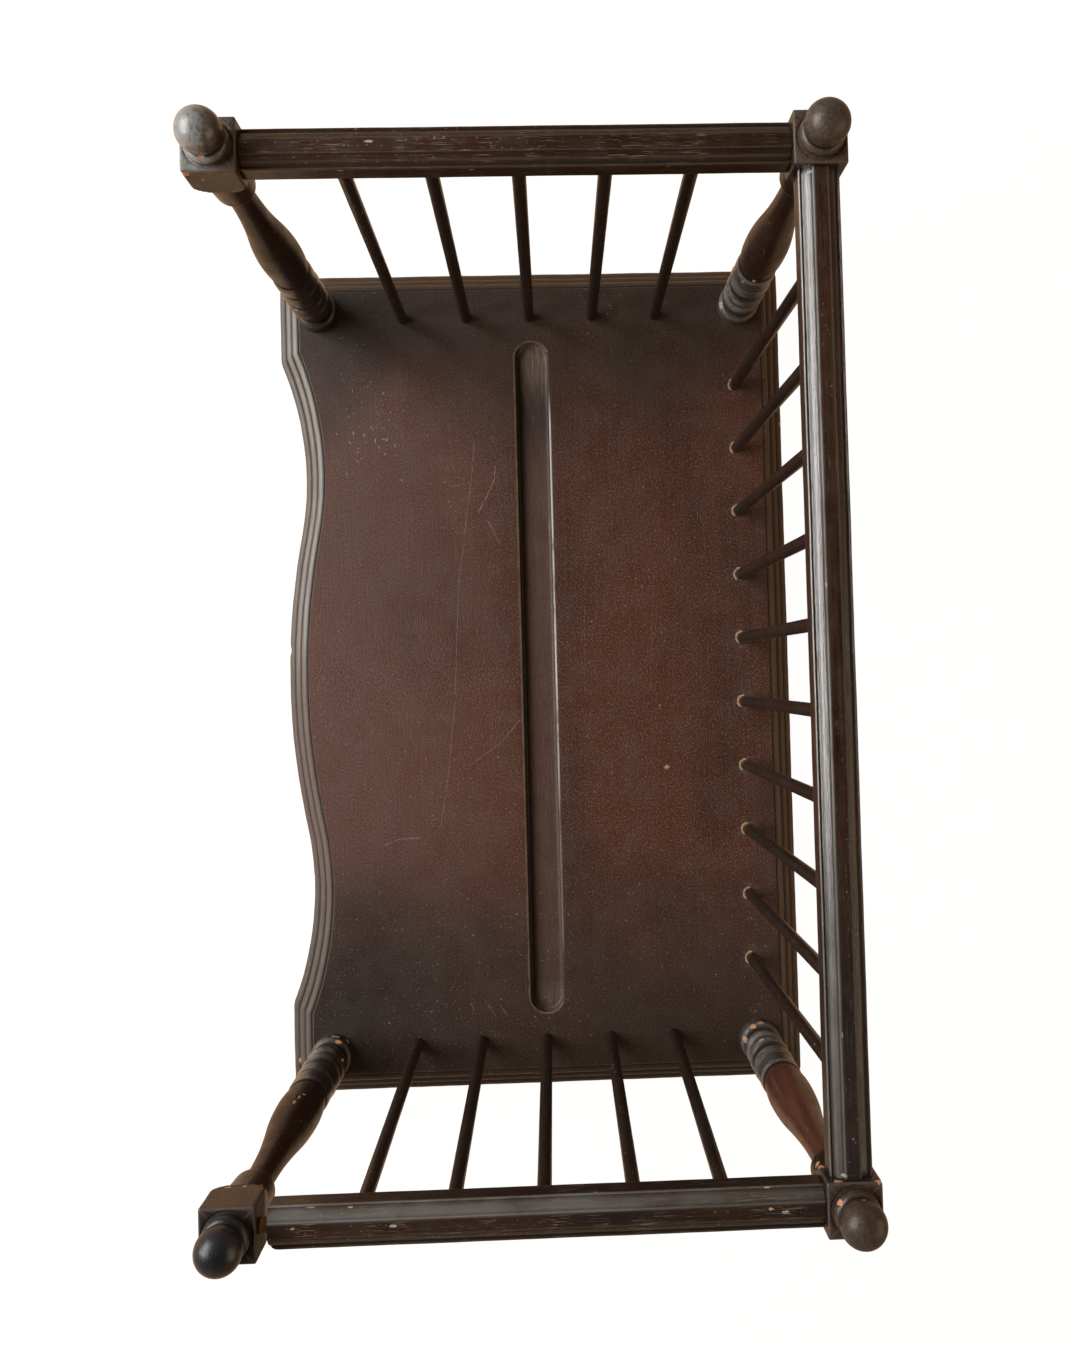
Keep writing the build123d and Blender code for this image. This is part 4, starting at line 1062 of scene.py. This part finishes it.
dowelLook = dict(
    railLook, grain=(0, 1, 0), deep=(0.36, 0.21, 0.10), middle=(0.50, 0.31, 0.16), warm=(0.46, 0.25, 0.11), film=0.0,
    dust=0.1, rough=(0.6, 0.75), gloss=0.3, coat=0.0, mottle=0.1,
)
dowelFinish = woodFinish("dowelFinish", dowelLook)
for dowel in [o for o in bpy.data.objects if o.type == "MESH" and o.name.startswith("rail_dowels")]:
    dowel.data.materials.clear()
    dowel.data.materials.append(dowelFinish)
print("dowel pins finished")


# camera, light and floor

# camera looking straight down, the board's right end at the bottom of the picture
cameraRig = dict(
    place=(-0.07, 8.85, 663.7),  # mm
    turn=(1.4875, -1.5713, 88.474),  # degrees
    lens=28.8,
    sensor=36.0,
    shift=(-0.0324, -0.0214),
)
# places and sizes in metres
lightRig = dict(
    window=dict(place=(-0.3, -1.15, 0.98), size=(1.3, 0.8), watts=30.0, tone=(1.0, 0.985, 0.965)),
    lamp=dict(place=(0.4, 1.3, 0.75), size=(1.2, 0.8), watts=5.5, tone=(1.0, 0.8, 0.58)),
    aim=(0, 0, 0.1), roomTone=(1.0, 0.70, 0.45), roomSide=0.5, roomTop=0.05,
    floorHalf=4, floorDrop=0.0005, floorTone=(0.62, 0.41, 0.24),
    floorGlow=1.17, floorGlowShare=0.83, floorShineShare=0.05,
)


# camera at the place and turn that were fitted to the picture, with the picture's middle shifted on the sensor
def makeCamera(rig):
    data = bpy.data.cameras.new("photoCamera")
    data.lens = rig["lens"]
    data.sensor_width = rig["sensor"]
    data.shift_x, data.shift_y = rig["shift"]
    data.clip_start = 0.01
    camera = bpy.data.objects.new("photoCamera", data)
    camera.location = [v * mm for v in rig["place"]]
    camera.rotation_euler = [radians(v) for v in rig["turn"]]
    bpy.context.scene.collection.objects.link(camera)
    bpy.context.scene.camera = camera


# rectangular light whose back axis runs from the aim to its place, so that it faces the aim
def makeLight(name, rig, aim):
    data = bpy.data.lights.new(name, "AREA")
    data.shape = "RECTANGLE"
    data.size, data.size_y = rig["size"]
    data.energy = rig["watts"]
    data.color = rig["tone"]
    light = bpy.data.objects.new(name, data)
    light.location = rig["place"]
    light.rotation_euler = (Vector(aim) - Vector(rig["place"])).to_track_quat("-Z", "Y").to_euler()
    bpy.context.scene.collection.objects.link(light)


# pale floor: mostly white glow to the camera, a small share of it in reflections, and plain diffuse to every other ray
def makeFloor(rig):
    half = rig["floorHalf"]
    mesh = bpy.data.meshes.new("floor")
    mesh.from_pydata([(-half, -half, 0), (half, -half, 0), (half, half, 0), (-half, half, 0)], [], [(0, 1, 2, 3)])
    finish = bpy.data.materials.new("floorFinish")
    finish.use_nodes = True
    tree = finish.node_tree
    tree.nodes.remove(tree.nodes["Principled BSDF"])
    plain = addNode(tree, "ShaderNodeBsdfDiffuse", {"Color": (*rig["floorTone"], 1)})
    glow = addNode(tree, "ShaderNodeEmission", {"Color": (1, 1, 1, 1), "Strength": rig["floorGlow"]})
    ray = addNode(tree, "ShaderNodeLightPath").outputs
    seen = times(tree, most(tree, ray["Is Camera Ray"], ray["Is Transmission Ray"]), rig["floorGlowShare"])
    seen = most(tree, seen, times(tree, ray["Is Glossy Ray"], rig["floorShineShare"]))
    mixed = addNode(tree, "ShaderNodeMixShader", {0: seen, 1: plain.outputs[0], 2: glow.outputs[0]})
    feed(tree, tree.nodes["Material Output"], {"Surface": mixed.outputs[0]})
    mesh.materials.append(finish)
    floor = bpy.data.objects.new("floor", mesh)
    floor.location.z = -rig["floorDrop"]
    bpy.context.scene.collection.objects.link(floor)


# room: warm and brighter at its sides, dark overhead, and plain white where the camera looks past the floor
def makeWorld(rig):
    world = bpy.data.worlds.new("studio")
    bpy.context.scene.world = world
    world.use_nodes = True
    tree = world.node_tree
    towards = addNode(tree, "ShaderNodeTexCoord").outputs["Generated"]
    up = addNode(tree, "ShaderNodeSeparateXYZ", {0: towards}).outputs[2]
    room = {"Value": up, "To Min": rig["roomSide"], "To Max": rig["roomTop"]}
    level = addNode(tree, "ShaderNodeMapRange", room).outputs[0]
    seen = addNode(tree, "ShaderNodeLightPath").outputs["Is Camera Ray"]
    strength = addNode(tree, "ShaderNodeMix", {0: seen, 2: level, 3: 1.0}, data_type="FLOAT").outputs[0]
    tone = blendTone(tree, seen, rig["roomTone"], (1.0, 1.0, 1.0))
    feed(tree, tree.nodes["Background"], {"Color": tone, "Strength": strength})


makeCamera(cameraRig)
for lightName in ("window", "lamp"):
    makeLight(lightName, lightRig[lightName], lightRig["aim"])
makeWorld(lightRig)
makeFloor(lightRig)
bpy.context.scene.view_settings.view_transform = "Standard"
print("camera and light ready")
